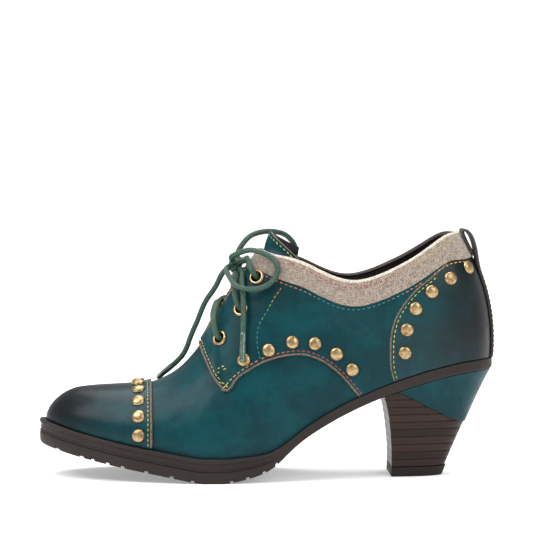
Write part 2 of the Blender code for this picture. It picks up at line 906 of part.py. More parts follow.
def forefoot_share(turn):
    """1 along the thick forefoot of the sole, falling to 0 at the waist."""
    along = along_of(turn)
    ramp = min(1.0, max(0.0, (0.535 - along) / 0.06))
    return ramp * ramp * (3 - 2 * ramp)


def build_outsole():
    """The rubber sole with its welt rim, stitched channel and tread slots."""
    rings = []
    for level, inset, forefoot in SOLE_WALL:

        def depth(turn, inset=inset, forefoot=forefoot):
            share = forefoot_share(turn) if forefoot else 1.0
            return CHANNEL_DEPTH * inset * share

        def height(x, level=level):
            return sole_bottom(x) + (1 - level) * sole_thickness(x)

        rings.append(outline_ring(depth, height))
    sole = ring_solid("outsole", rings, "brown_rubber")
    sole_end = 0.530
    slots = 10
    for number in range(slots):
        x = LENGTH * (0.035 + (sole_end - 0.035) * number / (slots - 1))
        slope = (sole_bottom(x + 0.002) - sole_bottom(x - 0.002)) / 0.004
        middle = Vector((x, 0, sole_bottom(x)))
        bpy.ops.mesh.primitive_cube_add(size=1, location=middle)
        tool = cutter(bpy.context.object)
        tool.name = f"tread_slot_{number + 1}"
        tool.scale = (TREAD_SLOT, BALL_WIDTH * 1.4, 2 * TREAD_DEPTH)
        tool.rotation_euler = (0, -math.atan(slope), 0)
        cut(sole, tool, "DIFFERENCE")
    return apply_modifiers(sole)


def heel_ring(level, inset, top):
    """One ring of the heel's form. The top ring lies under the sole, the others are level."""
    levels = column(HEEL_FORM, HEEL_COLUMNS, "level")[::-1]
    back_moved, breast_moved, narrowed = (
        smooth(levels, column(HEEL_FORM, HEEL_COLUMNS, name)[::-1])(level)
        for name in HEEL_COLUMNS[1:]
    )
    count = 12
    ring = []
    first = turn_of(BREAST_TOP / LENGTH)
    for side, order in ((-1, range(count + 1)), (1, range(count - 1, -1, -1))):
        for i in order:
            share = i / count
            turn = first + (1 - first) * share
            plan, _ = outline_point(side, turn, HEEL_LEDGE * 0.35 + inset)
            angle = math.pi / 2 * share
            bow = math.cos(angle) ** 0.55
            depth = math.sin(angle) ** 1.1
            tip_x = HEEL_FRONT + (TIP_LENGTH - inset) * depth
            tip_y = side * (TIP_WIDTH / 2 - inset) * bow
            along_share = (plan.x - BREAST_TOP) / (LENGTH - BREAST_TOP)
            moved = breast_moved + (back_moved - breast_moved) * along_share
            x = plan.x + (tip_x - plan.x) * moved
            y = plan.y + (tip_y - plan.y) * narrowed
            z = level * (sole_bottom(plan.x) - GAP) if not top else sole_bottom(x) - GAP
            ring.append(Vector((x, y, z)))
    return ring


def heel_form(name, inset, low, high, slot):
    """The heel between two shares of its height."""
    steps = 6 if high - low > 0.5 else 1
    levels = [low + (high - low) * i / steps for i in range(steps + 1)]
    rings = [heel_ring(level, inset, level > 0.999) for level in levels]
    return ring_solid(name, rings, slot)


def level_cutter(name, low, high):
    """A wide block between two heights, for cutting the heel level."""
    front, back = BREAST_TOP - 0.03, LENGTH + 0.03
    return side_prism(name, [(front, low), (back, low), (back, high), (front, high)], -0.06, 0.06)


def cover_prism(name, distance):
    """Everything above the heel cover's lower edge, which is moved down by a distance."""
    rows = [(x * LENGTH, z * UPPER_RISE * HEEL_HEIGHT / 0.0586) for x, z in COVER_LINE]
    keys = list(range(len(rows)))
    across, up = smooth(keys, [r[0] for r in rows]), smooth(keys, [r[1] for r in rows])
    line = [(across(i / 2), up(i / 2) - distance) for i in range(2 * len(rows) - 1)]
    high = HEEL_HEIGHT + 0.03
    return side_prism(name, line + [(line[-1][0], high), (line[0][0], high)], -0.06, 0.06)


def build_heel():
    """The stacked block, the leather cover over its upper back corner, and the rubber tip."""
    tip = heel_form("heel_tip", 0.0, 0.0, 1.0, "tip_rubber")
    cut(tip, level_cutter("tip_level", -0.01, TIP_HEIGHT), "INTERSECT")
    block = heel_form("heel_block", COVER_STEP, 0.0, 1.0, "stacked_heel")
    cut(block, level_cutter("block_level", TIP_HEIGHT + GAP, HEEL_HEIGHT + 0.05), "INTERSECT")
    cut(block, cover_prism("block_limit", GAP), "DIFFERENCE")
    cover = heel_form("heel_cover", 0.0, 0.0, 1.0, "teal_leather")
    cut(cover, cover_prism("cover_limit", 0.0), "INTERSECT")
    return [apply_modifiers(piece) for piece in (tip, block, cover)]


def build_upper():
    """The lasted shell: the vamp and lining as one wall, turned in under the insole."""
    turns = grid_turns(0.0, 1.0)
    levels = [j / RISERS for j in range(RISERS + 1)]
    vertices, faces = [], []
    for side in (-1, 1):
        start = len(vertices)
        for turn in turns:
            margin, _ = feather_point(side, turn, LASTING_MARGIN)
            corner, _ = feather_point(side, turn, UPPER_WALL)
            lift = Vector((0, 0, UPPER_WALL))
            outside = [last_point(side, turn, v) for v in levels]
            inside = [last_offset(side, turn, v, -UPPER_WALL) for v in reversed(levels[1:])]
            section = [margin] + outside + inside + [corner + lift, margin + lift]
            size = len(section)
            vertices += section
        for i in range(len(turns) - 1):
            both_on_ridge = turns[i + 1] <= THROAT_TURN + 1e-9
            for j in range(size):
                k = (j + 1) % size
                if both_on_ridge and j == RISERS + 1:
                    continue
                a, b = start + i * size, start + (i + 1) * size
                inner_row = j > RISERS + 1
                at_toe = turns[i] < 1e-9
                faces += panel(a + j, b + j, b + k, a + k, inner_row != at_toe)
    return add_mesh("upper", vertices, faces, "teal_leather")


def build_toe_cap():
    """The toe cap, cut from a slab at its straight rear edge."""
    cap = slab("toe_cap", (-1, 1), grid_turns(0.0, 0.42), GAP + OVERLAY, GAP, "teal_dark")
    edge = LENGTH * CAP_EDGE
    outline = [(-0.02, -0.02), (edge, -0.02), (edge, 0.12), (-0.02, 0.12)]
    cut(cap, side_prism("cap_limit", outline, -0.08, 0.08), "INTERSECT")
    return apply_modifiers(cap)


def build_quarters():
    """The two quarters, whose front flaps carry the eyelets."""
    made = []
    line = band_line(GAP)
    front_edge = side_curve(QUARTER_EDGE, 2)
    counter_line = shift_side_curve(side_curve(COUNTER_EDGE, 2), GAP)
    outline = front_edge + counter_line + [p for p in reversed(line) if p[0] < counter_line[-1][0]]
    for side, name in ((-1, "quarter_lateral"), (1, "quarter_medial")):
        piece = slab(name, (side,), grid_turns(0.34, 0.94), GAP + OVERLAY, GAP, "teal_leather")
        reach = sorted((side * FLAP_SPLIT, side * 0.08))
        prism = side_prism(name + "_limit", outline, *reach)
        cut(piece, prism, "INTERSECT")
        made.append(apply_modifiers(piece))
    return made


def build_counter():
    """The heel counter, in one piece round the back."""
    piece = slab("counter", (-1, 1), grid_turns(0.6, 1.0), GAP + OVERLAY, GAP, "teal_dark")
    edge = side_curve(COUNTER_EDGE, 2)
    line = [p for p in band_line(GAP) if p[0] > edge[-1][0]]
    outline = edge + line + [(LENGTH + 0.03, line[-1][1]), (LENGTH + 0.03, edge[0][1])]
    cut(piece, side_prism("counter_limit", outline, -0.08, 0.08), "INTERSECT")
    return apply_modifiers(piece)


def build_collar_band():
    """The linen band round the collar, folded over its top edge."""
    turns = grid_turns(THROAT_TURN + 0.01, 1.0)
    outer = GAP + OVERLAY
    band = slab("collar_band", (-1, 1), turns, outer, GAP, "linen", first_row=3, rim=UPPER_WALL)
    line = band_line(0.0)
    outline = line + [(line[-1][0], 0.20), (line[0][0], 0.20)]
    cut(band, side_prism("band_limit", outline, -0.08, 0.08), "INTERSECT")
    return apply_modifiers(band)


def grid_solid(name, front, back, slot):
    """A solid sheet between two grids of points of the same size."""
    rows, columns = len(front), len(front[0])
    count = rows * columns
    vertices = [p for row in front for p in row] + [p for row in back for p in row]
    faces = []
    for i in range(rows - 1):
        for j in range(columns - 1):
            a = i * columns + j
            faces.append([a, a + 1, a + columns + 1, a + columns])
            faces.append([count + k for k in (a, a + columns, a + columns + 1, a + 1)])
    rim = [(i, 0) for i in range(rows)] + [(rows - 1, j) for j in range(1, columns)]
    rim += [(i, columns - 1) for i in range(rows - 2, -1, -1)]
    rim += [(0, j) for j in range(columns - 2, 0, -1)]
    corners = [i * columns + j for i, j in rim]
    for a, b in zip(corners, corners[1:] + corners[:1]):
        faces.append([a, b, count + b, count + a])
    return add_mesh(name, vertices, faces, slot)


def back_point(across, level, out):
    """A point over the back of the upper at a distance from its centre line."""
    if abs(across) < 1e-6:
        return last_offset(-1, 1.0, level, out)
    side = -1 if across < 0 else 1
    low, high = 0.80, 1.0
    for _ in range(30):
        middle = (low + high) / 2
        if abs(last_offset(side, middle, level, out).y) > abs(across):
            low = middle
        else:
            high = middle
    return last_offset(side, low, level, out)


def build_backstay():
    """The strip up the back seam, folded at its top into a pull loop."""
    on_counter = 2 * GAP + OVERLAY
    half = STAY_THICKNESS / 2
    path = [(level, on_counter + half) for level in (0.0, 0.125, 0.25, 0.375, 0.5, 0.625, 0.72)]
    over = on_counter + STAY_THICKNESS + GAP + half
    path += [(0.80, over), (0.865, over + 0.30 * LOOP_DEPTH), (0.935, over + 0.52 * LOOP_DEPTH)]
    path += [(0.985, over + 0.40 * LOOP_DEPTH), (1.0, over + 0.05 * LOOP_DEPTH)]
    path += [(0.985, on_counter + half + 0.0004), (0.93, on_counter + half)]
    path += [(0.875, on_counter + half), (0.82, on_counter + half)]
    front, back = [], []
    columns = [STAY_WIDTH * share for share in (-0.5, -0.25, 0.0, 0.25, 0.5)]
    middles = [[back_point(across, *place) for across in columns] for place in path]
    for i, row in enumerate(middles):
        before, after = middles[max(i - 1, 0)], middles[min(i + 1, len(middles) - 1)]
        outside, inside = [], []
        for j, point in enumerate(row):
            arrive = Vector((point.x - before[j].x, 0, point.z - before[j].z)).normalized()
            leave = Vector((after[j].x - point.x, 0, after[j].z - point.z)).normalized()
            way = (arrive + leave).normalized()
            widen = 1 / max(0.6, way.dot(leave if leave.length else arrive))
            normal = Vector((way.z, 0, -way.x)) * half * widen
            outside.append(point + normal)
            inside.append(point - normal)
        front.append(outside)
        back.append(inside)
    return grid_solid("backstay", front, back, "teal_dark")


def point_across(across, turn, out):
    """The point of an offset surface on one section, at a distance from the centre line."""
    side = -1 if across < 0 else 1
    low, high = 0.3, 1.0
    for _ in range(26):
        middle = (low + high) / 2
        if abs(last_offset(side, turn, middle, out).y) > abs(across):
            low = middle
        else:
            high = middle
    return last_offset(side, turn, low, out)


def tongue_column(across, straight, upright, depth):
    """One line up the tongue, under the facing and then out of the collar."""
    side = -1 if across < 0 else 1
    last = TOP_TURN + 0.004
    while abs(last_offset(side, last, 0.999, -depth).y) < abs(across):
        last += 0.002
    points = [point_across(across, turn, -depth) for turn in grid_turns(FLAT_TURNS[0], TOP_TURN)]
    way = (points[-1] - points[-2]).normalized()
    leaving = point_across(across, last, -depth)
    if (leaving - points[-1]).length < TONGUE_STEP:
        leaving = points[-1] + way * TONGUE_STEP
    else:
        way = (leaving - points[-1]).normalized()
    rising = (way * 0.25 + Vector((0, 0, 0.75))).normalized()
    inwards = last_normal(side, last, 0.98) * TONGUE_CLEAR
    out = leaving + way * straight - inwards
    points.append(leaving - inwards / 2)
    return points + [out, out + rising * upright / 2, out + rising * upright]


def tongue_centre(depth):
    """The tongue's middle line, which bulges a little between the facings."""
    points = []
    turns = grid_turns(FLAT_TURNS[0], TOP_TURN)
    for turn, relief in zip(turns, (0.0, 0.0, 0.0, 0.0006, 0.0012, 0.0019)):
        x = LENGTH * SHAPE["ridge"](along_of(turn))
        way = (ridge_point(x + 1e-4) - ridge_point(x - 1e-4)).normalized()
        points.append(ridge_point(x) - Vector((-way.z, 0, way.x)) * (depth - relief))
    lean = Vector((0.34, 0, 0.94))
    points += [points[-1] + lean * TONGUE_RISE * share for share in (0.20, 0.46, 0.73, 1.0)]
    return points


def behind(grid, distance):
    """A grid of points moved inwards, square to its own surface with small dents evened out."""
    rows, columns = len(grid), len(grid[0])

    def normal(i, j):
        up = grid[min(i + 1, rows - 1)][j] - grid[max(i - 1, 0)][j]
        across = grid[i][min(j + 1, columns - 1)] - grid[i][max(j - 1, 0)]
        return up.cross(across).normalized()

    def evened(i, j):
        total = Vector()
        for m in range(max(i - 2, 0), min(i + 3, rows)):
            for n in range(max(j - 1, 0), min(j + 2, columns)):
                total += normal(m, n)
        return total.normalized()

    return [
        [grid[i][j] - evened(i, j) * distance for j in range(columns)] for i in range(rows)
    ]


def build_tongue():
    """The tongue under the facings, with its free end standing out of the collar."""
    depth = UPPER_WALL + TONGUE_DEPTH
    centre = tongue_centre(depth)
    columns = []
    for across, straight, upright in TONGUE_EDGE:
        lengths = straight * TONGUE_RISE, upright * TONGUE_RISE
        columns.append(tongue_column(across * BALL_WIDTH, *lengths, depth))
    half = len(columns) // 2
    lateral = [a.lerp(b, 0.4) for a, b in zip(centre, columns[half - 1])]
    medial = [a.lerp(b, 0.4) for a, b in zip(centre, columns[half])]
    columns[half:half] = [lateral, centre, medial]
    front = [list(row) for row in zip(*columns)]
    return grid_solid("tongue", front, behind(front, TONGUE_THICKNESS), "teal_leather")


def build_insole():
    """The insole board, resting on the turned-in lasting margin."""

    def inset(turn):
        return LEDGE(along_of(turn)) + UPPER_WALL + INSOLE_CLEAR

    base = GAP + UPPER_WALL + 2 * GAP
    rings = []
    for lift in (base, base + INSOLE_THICKNESS):
        rings.append(outline_ring(inset, lambda x, lift=lift: sole_face(x) + lift))
    return ring_solid("insole", rings, "lining")


def build_eyelets():
    """The six brass eyelets, each with its barrel through the two layers of the facing."""
    top = GAP + OVERLAY + GAP
    profile = [
        (EYELET_HOLE, -UPPER_WALL),
        (EYELET_HOLE, top + EYELET_RISE * 0.7),
        ((EYELET_HOLE + EYELET_RADIUS) / 2, top + EYELET_RISE),
        (EYELET_RADIUS, top),
        (EYELET_BARREL, top),
        (EYELET_BARREL, -UPPER_WALL),
    ]
    for side, word in ((-1, "lateral"), (1, "medial")):
        for number, place in enumerate(EYELETS, 1):
            centre, normal = eyelet_frame(side, *place, 0)
            turned(f"eyelet_{word}_{number}", profile, centre, normal, 10, "brass", closed=True)


def cap_stud_places():
    """Outline parameters and levels of the cap's studs, evenly spaced from the ridge down."""
    places = []
    x_goal = LENGTH * CAP_STUD_LINE
    for side in (-1, 1):
        walked, last, number = 0.0, None, 0
        for step in range(200):
            level = 1 - step / 200
            low, high = 0.0, 0.45
            for _ in range(24):
                middle = (low + high) / 2
                if last_point(side, middle, level).x < x_goal:
                    low = middle
                else:
                    high = middle
            point = last_point(side, low, level)
            walked += (point - last).length if last else 0.0
            last = point
            if number < CAP_STUDS // 2 and walked >= CAP_STUD_PITCH * (number + 0.5):
                places.append((side, low, level))
                number += 1
    return places


def build_studs():
    """The domed brass studs on the cap, the quarters and the counter."""
    base = GAP + OVERLAY + GAP
    profile = [
        (STUD_RADIUS, base),
        (STUD_RADIUS * 0.55, base + STUD_RISE),
    ]
    spots = [("cap", *place) for place in cap_stud_places()]
    for group, table in (("quarter", QUARTER_STUDS), ("counter", COUNTER_STUDS)):
        for side in (-1, 1):
            spots += [(group, side, *place_on_side(side, *place)) for place in table]
    numbers = {}
    for group, side, turn, level in spots:
        word = f"{group}_{'lateral' if side < 0 else 'medial'}"
        numbers[word] = numbers.get(word, 0) + 1
        centre = last_point(side, turn, level)
        normal = last_normal(side, turn, level)
        turned(f"stud_{word}_{numbers[word]}", profile, centre, normal, 7, "brass")


def rounded(points):
    """A smooth line through points, in even steps of about two cord widths."""
    keys = [0.0]
    for a, b in zip(points, points[1:]):
        keys.append(keys[-1] + (b - a).length)
    axes = [smooth(keys, [p[i] for p in points]) for i in range(3)]
    count = max(3, round(keys[-1] / (2.3 * LACE_DIAMETER)))
    return [Vector([axis(keys[-1] * i / count) for axis in axes]) for i in range(count + 1)]


def tube(name, line, radius, slot="green_cord", sides=6):
    """A round cord along a line of points, closed at both ends."""
    count = len(line) - 1
    ways = []
    for i in range(count + 1):
        ways.append((line[min(i + 1, count)] - line[max(i - 1, 0)]).normalized())
    start = ways[0].orthogonal().normalized()
    vertices, faces = [], []
    for point, way in zip(line, ways):
        start = (start - way * start.dot(way)).normalized()
        other = way.cross(start)
        for i in range(sides):
            angle = 2 * math.pi * i / sides
            vertices.append(point + (start * math.cos(angle) + other * math.sin(angle)) * radius)
    for i in range(count):
        for j in range(sides):
            k = (j + 1) % sides
            a, b = i * sides, (i + 1) * sides
            faces.append([a + j, a + k, b + k, b + j])
    faces.append(list(range(sides)))
    faces.append(list(range(count * sides, (count + 1) * sides)))
    return add_mesh(name, vertices, faces, slot)


def lace_over_facing(side, number, turn_end):
    """Points of a lace out of an eyelet's hole, over its rim and up to the edge of its facing."""
    turn, level = place_on_side(side, *EYELETS[number - 1])
    centre, normal = last_point(side, turn, level), last_normal(side, turn, level)
    place = turn + (turn_end - turn) * 0.30, level + (1 - level) * 0.66
    edge = last_offset(side, *place, LACE_DIAMETER * 1.48)
    way = edge - centre
    way = (way - normal * way.dot(normal)).normalized()
    places = ((0.0, 0.17), (0.12, 1.0), (0.77, 1.60))
    points = [centre + (way * along + normal * out) * LACE_DIAMETER for along, out in places]
    return points + [edge]


def throat_middle(turn, out):
    """A point over the middle of the throat, at a distance from the last surface."""
    return (last_offset(-1, turn, 1, out) + last_offset(1, turn, 1, out)) / 2


def crossing_line(side, number, out):
    """A lace out of one eyelet, over the throat and down beside the edge of the other facing."""
    first, _ = place_on_side(side, *EYELETS[number - 1])
    last, _ = place_on_side(-side, *EYELETS[number])
    points = lace_over_facing(side, number, last)
    places = [first + (last - first) * share for share in (0.44, 0.57, 0.68)]
    points.append(last_offset(side, places[0], 1, LACE_DIAMETER * 1.15))
    points.append(throat_middle(places[1], out))
    edge = last_offset(-side, places[2], 1, LACE_DIAMETER * 0.30)
    points.append(throat_middle(places[2], LACE_DIAMETER * 0.30).lerp(edge, 0.50))
    return points


def lace_line(rows):
    """Points in space of a table of shares."""
    return [Vector((a * LENGTH, b * BALL_WIDTH, c * UPPER_RISE)) for a, b, c in rows]


def join(name, target, tools):
    """Joins closed solids that overlap into one."""
    for number, tool in enumerate(tools, 1):
        tool.name = f"{name}_tool_{number}"
        cut(target, cutter(tool), "UNION")
    return apply_modifiers(target)


def build_laces():
    """The two crossings of the lace, its knot, the loops of the bow and the two ends."""
    radius = LACE_DIAMETER / 2
    for number, word in ((1, "lower"), (2, "upper")):
        name = f"lace_cross_{word}"
        one = tube(name, crossing_line(-1, number, LACE_DIAMETER * 0.95), radius)
        two = tube(name + "_other", crossing_line(1, number, LACE_DIAMETER * 0.40), radius)
        join(name, one, [two])
    centre = lace_line([KNOT_PLACE])[0]
    slope = (ridge_point(0.114) - ridge_point(0.110)).normalized()
    bpy.ops.mesh.primitive_uv_sphere_add(segments=8, ring_count=5, radius=1)
    ball = bpy.context.object
    turn = Matrix((slope, Vector((0, 1, 0)), Vector((-slope.z, 0, slope.x)))).transposed()
    sizes = Matrix.Diagonal((LACE_DIAMETER * 1.45, LACE_DIAMETER * 1.5, LACE_DIAMETER * 1.0))
    ball.data.transform(Matrix.Translation(centre) @ (turn @ sizes).to_4x4())
    arms = []
    for side in (-1, 1):
        points = lace_over_facing(side, 3, TOP_TURN - 0.012)
        points.append(last_offset(side, TOP_TURN - 0.016, 1, LACE_DIAMETER * 1.25))
        points.append(centre + Vector((0, side * LACE_DIAMETER * 0.5, 0)))
        arms.append(tube(f"lace_arm_{2 + side}", points, radius))
    knot = join("lace_knot", arms[0], [arms[1], ball])
    knot.name = "lace_knot"
    tube("lace_loop_lateral", rounded(lace_line(LOOP_LATERAL)), radius)
    tube("lace_loop_medial", rounded(lace_line(LOOP_MEDIAL)), radius)
    tube("lace_end_lateral", rounded(lace_line(END_LATERAL)), radius)
    tube("lace_end_medial", rounded(lace_line(END_MEDIAL)), radius)


def settle():
    """Moves the whole shoe so that the origin is at its bottom centre, the bow left aside."""
    shoe = bpy.data.collections["heeled_oxford"].objects
    loose = ("lace_knot", "lace_loop", "lace_end")
    corners = [v.co for o in shoe if not o.name.startswith(loose) for v in o.data.vertices]
    low = [min(c[i] for c in corners) for i in range(3)]
    high = [max(c[i] for c in corners) for i in range(3)]
    centre = Vector(((low[0] + high[0]) / 2, (low[1] + high[1]) / 2, low[2]))
    for made in shoe:
        made.data.transform(Matrix.Translation(-centre))
    return centre


def build_all():
    build_outsole()
    build_heel()
    shell = build_upper()
    build_toe_cap()
    quarters = build_quarters()
    punch_eyelets({-1: (shell, quarters[0]), 1: (shell, quarters[1])})
    build_counter()
    build_collar_band()
    build_backstay()
    build_tongue()
    build_insole()
    build_eyelets()
    build_studs()
    build_laces()


def main():
    for old in list(bpy.data.objects):
        bpy.data.objects.remove(old)
    build_all()
    print("origin moved to", tuple(round(c * 1000, 3) for c in settle()))


main()
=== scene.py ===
"""The looks of a woman's heeled oxford shoe, left foot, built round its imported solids.

Run as a script it makes every visible piece, the floor, the lights and the camera. It is laid out
as an add-on: the panel in the 3D view's sidebar lists the same steps.

Lengths are in metres. While pieces are made, x is measured from the toe tip of the sole and z
from the floor, and each finished mesh is then moved to the frame's origin.
"""

import math

import bmesh
import bpy
import numpy as np
from bpy.props import FloatProperty, FloatVectorProperty, IntProperty, PointerProperty
from bpy.types import Operator, Panel, PropertyGroup
from mathutils import Matrix, Vector


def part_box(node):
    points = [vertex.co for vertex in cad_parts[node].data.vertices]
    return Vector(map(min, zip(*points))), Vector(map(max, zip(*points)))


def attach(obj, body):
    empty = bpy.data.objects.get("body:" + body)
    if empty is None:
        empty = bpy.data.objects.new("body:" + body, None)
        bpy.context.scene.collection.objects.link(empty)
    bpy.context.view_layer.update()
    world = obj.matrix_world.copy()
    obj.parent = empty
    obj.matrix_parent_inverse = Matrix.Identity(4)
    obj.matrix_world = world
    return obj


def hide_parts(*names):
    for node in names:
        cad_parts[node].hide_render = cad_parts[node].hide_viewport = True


bl_info = {
    "name": "Heeled oxford shoe",
    "version": (1, 0, 0),
    "blender": (4, 5, 0),
    "location": "3D View > Sidebar > Shoe",
    "description": "Builds the visible pieces of a heeled oxford shoe round its solids",
    "category": "Add Mesh",
}

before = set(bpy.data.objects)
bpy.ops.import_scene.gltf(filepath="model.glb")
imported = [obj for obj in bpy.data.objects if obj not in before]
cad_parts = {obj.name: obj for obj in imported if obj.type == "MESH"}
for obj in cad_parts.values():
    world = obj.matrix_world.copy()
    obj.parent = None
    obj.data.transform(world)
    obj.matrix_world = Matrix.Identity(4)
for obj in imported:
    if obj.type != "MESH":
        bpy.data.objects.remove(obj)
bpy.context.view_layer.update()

# The frame's origin, seen from the toe tip of the sole and the heel's middle plane
TIP_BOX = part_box("heel_tip")
SHIFT = Vector((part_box("outsole")[0].x, (TIP_BOX[0].y + TIP_BOX[1].y) / 2, 0.0))

# The shoe's main sizes
LENGTH = 0.248
BALL_WIDTH = 0.0845
HEEL_HEIGHT = 0.0586
TOE_SPRING = 0.018
UPPER_RISE = 0.110
COLLAR_WIDTH = 0.054
TOE_SHIFT = 0.005

# The sole and the heel
FOREFOOT_SOLE = 0.0132
WAIST_SOLE = 0.0058
TOE_LEDGE = 0.005
SIDE_LEDGE = 0.0036
HEEL_LEDGE = 0.0024
CHANNEL_DEPTH = 0.0007
TREAD_DEPTH = 0.0018
FLAT_START = 0.355
FLAT_END = 0.405
BREAST_TOP = 0.187
HEEL_FRONT = 0.1915
TIP_LENGTH = 0.0290
TIP_WIDTH = 0.032
TIP_HEIGHT = 0.0052
COVER_STEP = 0.0006

# The upper and what is sewn to it
UPPER_WALL = 0.0020
OVERLAY = 0.0013
LASTING_MARGIN = 0.009
BAND_HEIGHT = 0.0130
THROAT_WIDTH = 0.0105
THROAT_BEND = 0.06
TONGUE_THICKNESS = 0.0018
TONGUE_RISE = 0.0116
TONGUE_DEPTH = 0.0009
TONGUE_CLEAR = 0.0019
TONGUE_STEP = 0.0025
INSOLE_THICKNESS = 0.0025
INSOLE_CLEAR = 0.0014
STAY_WIDTH = 0.0135
STAY_THICKNESS = 0.0013
LOOP_DEPTH = 0.0052
GAP = 0.0003
FLAP_SPLIT = 0.0006
OVER = GAP + OVERLAY

# Eyelets, studs and laces
EYELET_RADIUS = 0.0043
EYELET_HOLE = 0.0025
EYELET_BARREL = 0.0029
EYELET_RISE = 0.0009
STUD_RADIUS = 0.0037
STUD_RISE = 0.0015
LACE_DIAMETER = 0.0030

# Plan outline of the sole: share of LENGTH, then lateral and medial edge as shares of BALL_WIDTH
OUTLINE = np.array((
    (0.000, 0.060, 0.060),
    (0.020, -0.107, 0.225),
    (0.060, -0.231, 0.343),
    (0.120, -0.331, 0.420),
    (0.200, -0.414, 0.465),
    (0.280, -0.473, 0.488),
    (0.360, -0.506, 0.481),
    (0.440, -0.497, 0.436),
    (0.520, -0.450, 0.367),
    (0.600, -0.393, 0.320),
    (0.680, -0.355, 0.308),
    (0.760, -0.341, 0.322),
    (0.840, -0.337, 0.337),
    (0.910, -0.302, 0.308),
    (0.960, -0.240, 0.246),
    (0.990, -0.128, 0.132),
    (1.000, 0.000, 0.000),
))

# Side line of the sole's underside: share of LENGTH, of TOE_SPRING and of HEEL_HEIGHT, and the
# thickness over it, from 0 for WAIST_SOLE to 1 for FOREFOOT_SOLE
SOLE = np.array((
    (0.000, 1.000, 0.000, 1.00),
    (0.100, 0.670, 0.000, 0.97),
    (0.200, 0.385, 0.000, 0.94),
    (0.300, 0.130, 0.000, 0.96),
    (0.355, 0.000, 0.000, 1.00),
    (0.405, 0.000, 0.000, 0.98),
    (0.450, 0.000, 0.037, 0.82),
    (0.485, 0.000, 0.082, 0.60),
    (0.515, 0.000, 0.155, 0.36),
    (0.540, 0.000, 0.252, 0.12),
    (0.570, 0.000, 0.362, 0.00),
    (0.610, 0.000, 0.475, 0.00),
    (0.660, 0.000, 0.592, 0.00),
    (0.710, 0.000, 0.692, 0.00),
    (0.760, 0.000, 0.778, 0.00),
    (0.820, 0.000, 0.866, 0.00),
    (0.880, 0.000, 0.936, 0.00),
    (0.940, 0.000, 0.982, 0.00),
    (1.000, 0.000, 1.000, 0.00),
))

# Side wall of the sole from its top edge down: share of the thickness, inset as a share of
# CHANNEL_DEPTH, and 1 where only the thick forefoot has it
SOLE_WALL = (
    (0.000, 1.00, 0),
    (0.015, 0.40, 0),
    (0.050, 0.05, 0),
    (0.130, 0.00, 1),
    (0.160, 0.15, 1),
    (0.185, 1.00, 1),
    (0.430, 1.00, 1),
    (0.455, 0.25, 1),
    (0.475, 0.10, 1),
    (0.492, 0.25, 1),
    (0.505, 0.95, 1),
    (0.525, 0.95, 1),
    (0.540, 0.20, 1),
    (0.570, 0.00, 1),
    (0.750, 0.00, 1),
    (0.900, 0.20, 0),
    (0.970, 0.60, 0),
    (1.000, 1.20, 0),
)

# Notches of the tread across the sole: start and end in shares of LENGTH
NOTCHES = (
    (0.034, 0.043),
    (0.088, 0.097),
    (0.113, 0.120),
    (0.146, 0.153),
    (0.178, 0.186),
    (0.229, 0.237),
    (0.284, 0.292),
    (0.330, 0.337),
    (0.415, 0.423),
    (0.450, 0.458),
    (0.486, 0.494),
    (0.514, 0.520),
)

# Centre line of the instep: share of LENGTH, and height over the sole as a share of UPPER_RISE
RIDGE = np.array((
    (0.090, 0.193),
    (0.125, 0.219),
    (0.176, 0.250),
    (0.234, 0.290),
    (0.256, 0.313),
    (0.280, 0.346),
    (0.308, 0.398),
    (0.330, 0.455),
    (0.353, 0.528),
    (0.377, 0.618),
    (0.403, 0.716),
    (0.432, 0.814),
    (0.460, 0.902),
    (0.488, 0.982),
))

# Top line of the collar: share of the way from the instep to the back, and height over the sole
COLLAR = np.array((
    (0.00, 0.985),
    (0.13, 0.886),
    (0.23, 0.780),
    (0.335, 0.668),
    (0.44, 0.587),
    (0.55, 0.553),
    (0.66, 0.554),
    (0.75, 0.568),
    (0.87, 0.608),
    (0.95, 0.632),
    (1.00, 0.627),
))

# Shape of the wall between the sole and the top: share along the outline, where its top end lies
# on the ridge (share of LENGTH), then the reach of the lower and upper bulge outwards (shares of
# BALL_WIDTH) and along the wall (shares of its height)
SECTION_COLUMNS = ("along", "ridge", "low_out", "low_up", "high_out", "high_down")
SECTIONS = np.array((
    (0.000, 0.097, 0.006, 0.42, 0.118, 0.00),
    (0.040, 0.109, 0.012, 0.44, 0.142, 0.00),
    (0.100, 0.137, 0.018, 0.47, 0.195, 0.00),
    (0.180, 0.196, 0.026, 0.50, 0.245, 0.00),
    (0.260, 0.256, 0.030, 0.50, 0.262, 0.00),
    (0.340, 0.314, 0.030, 0.46, 0.255, 0.00),
    (0.420, 0.370, 0.030, 0.43, 0.238, 0.00),
    (0.480, 0.414, 0.030, 0.42, 0.222, 0.00),
    (0.530, 0.455, 0.030, 0.41, 0.200, 0.01),
    (0.570, 0.488, 0.032, 0.39, 0.160, 0.05),
    (0.610, 0.500, 0.034, 0.37, 0.105, 0.12),
    (0.660, 0.500, 0.036, 0.36, 0.055, 0.22),
    (0.720, 0.500, 0.036, 0.35, 0.024, 0.32),
    (0.850, 0.500, 0.036, 0.34, 0.032, 0.36),
    (0.940, 0.500, 0.028, 0.335, 0.105, 0.36),
    (1.000, 0.500, 0.020, 0.335, 0.172, 0.360),
))
TOP_SHARE = 0.570
THROAT_START = 0.372
COLLAR_BACK = 0.922
TOE_FAN = 0.27
HEEL_FAN = 0.30

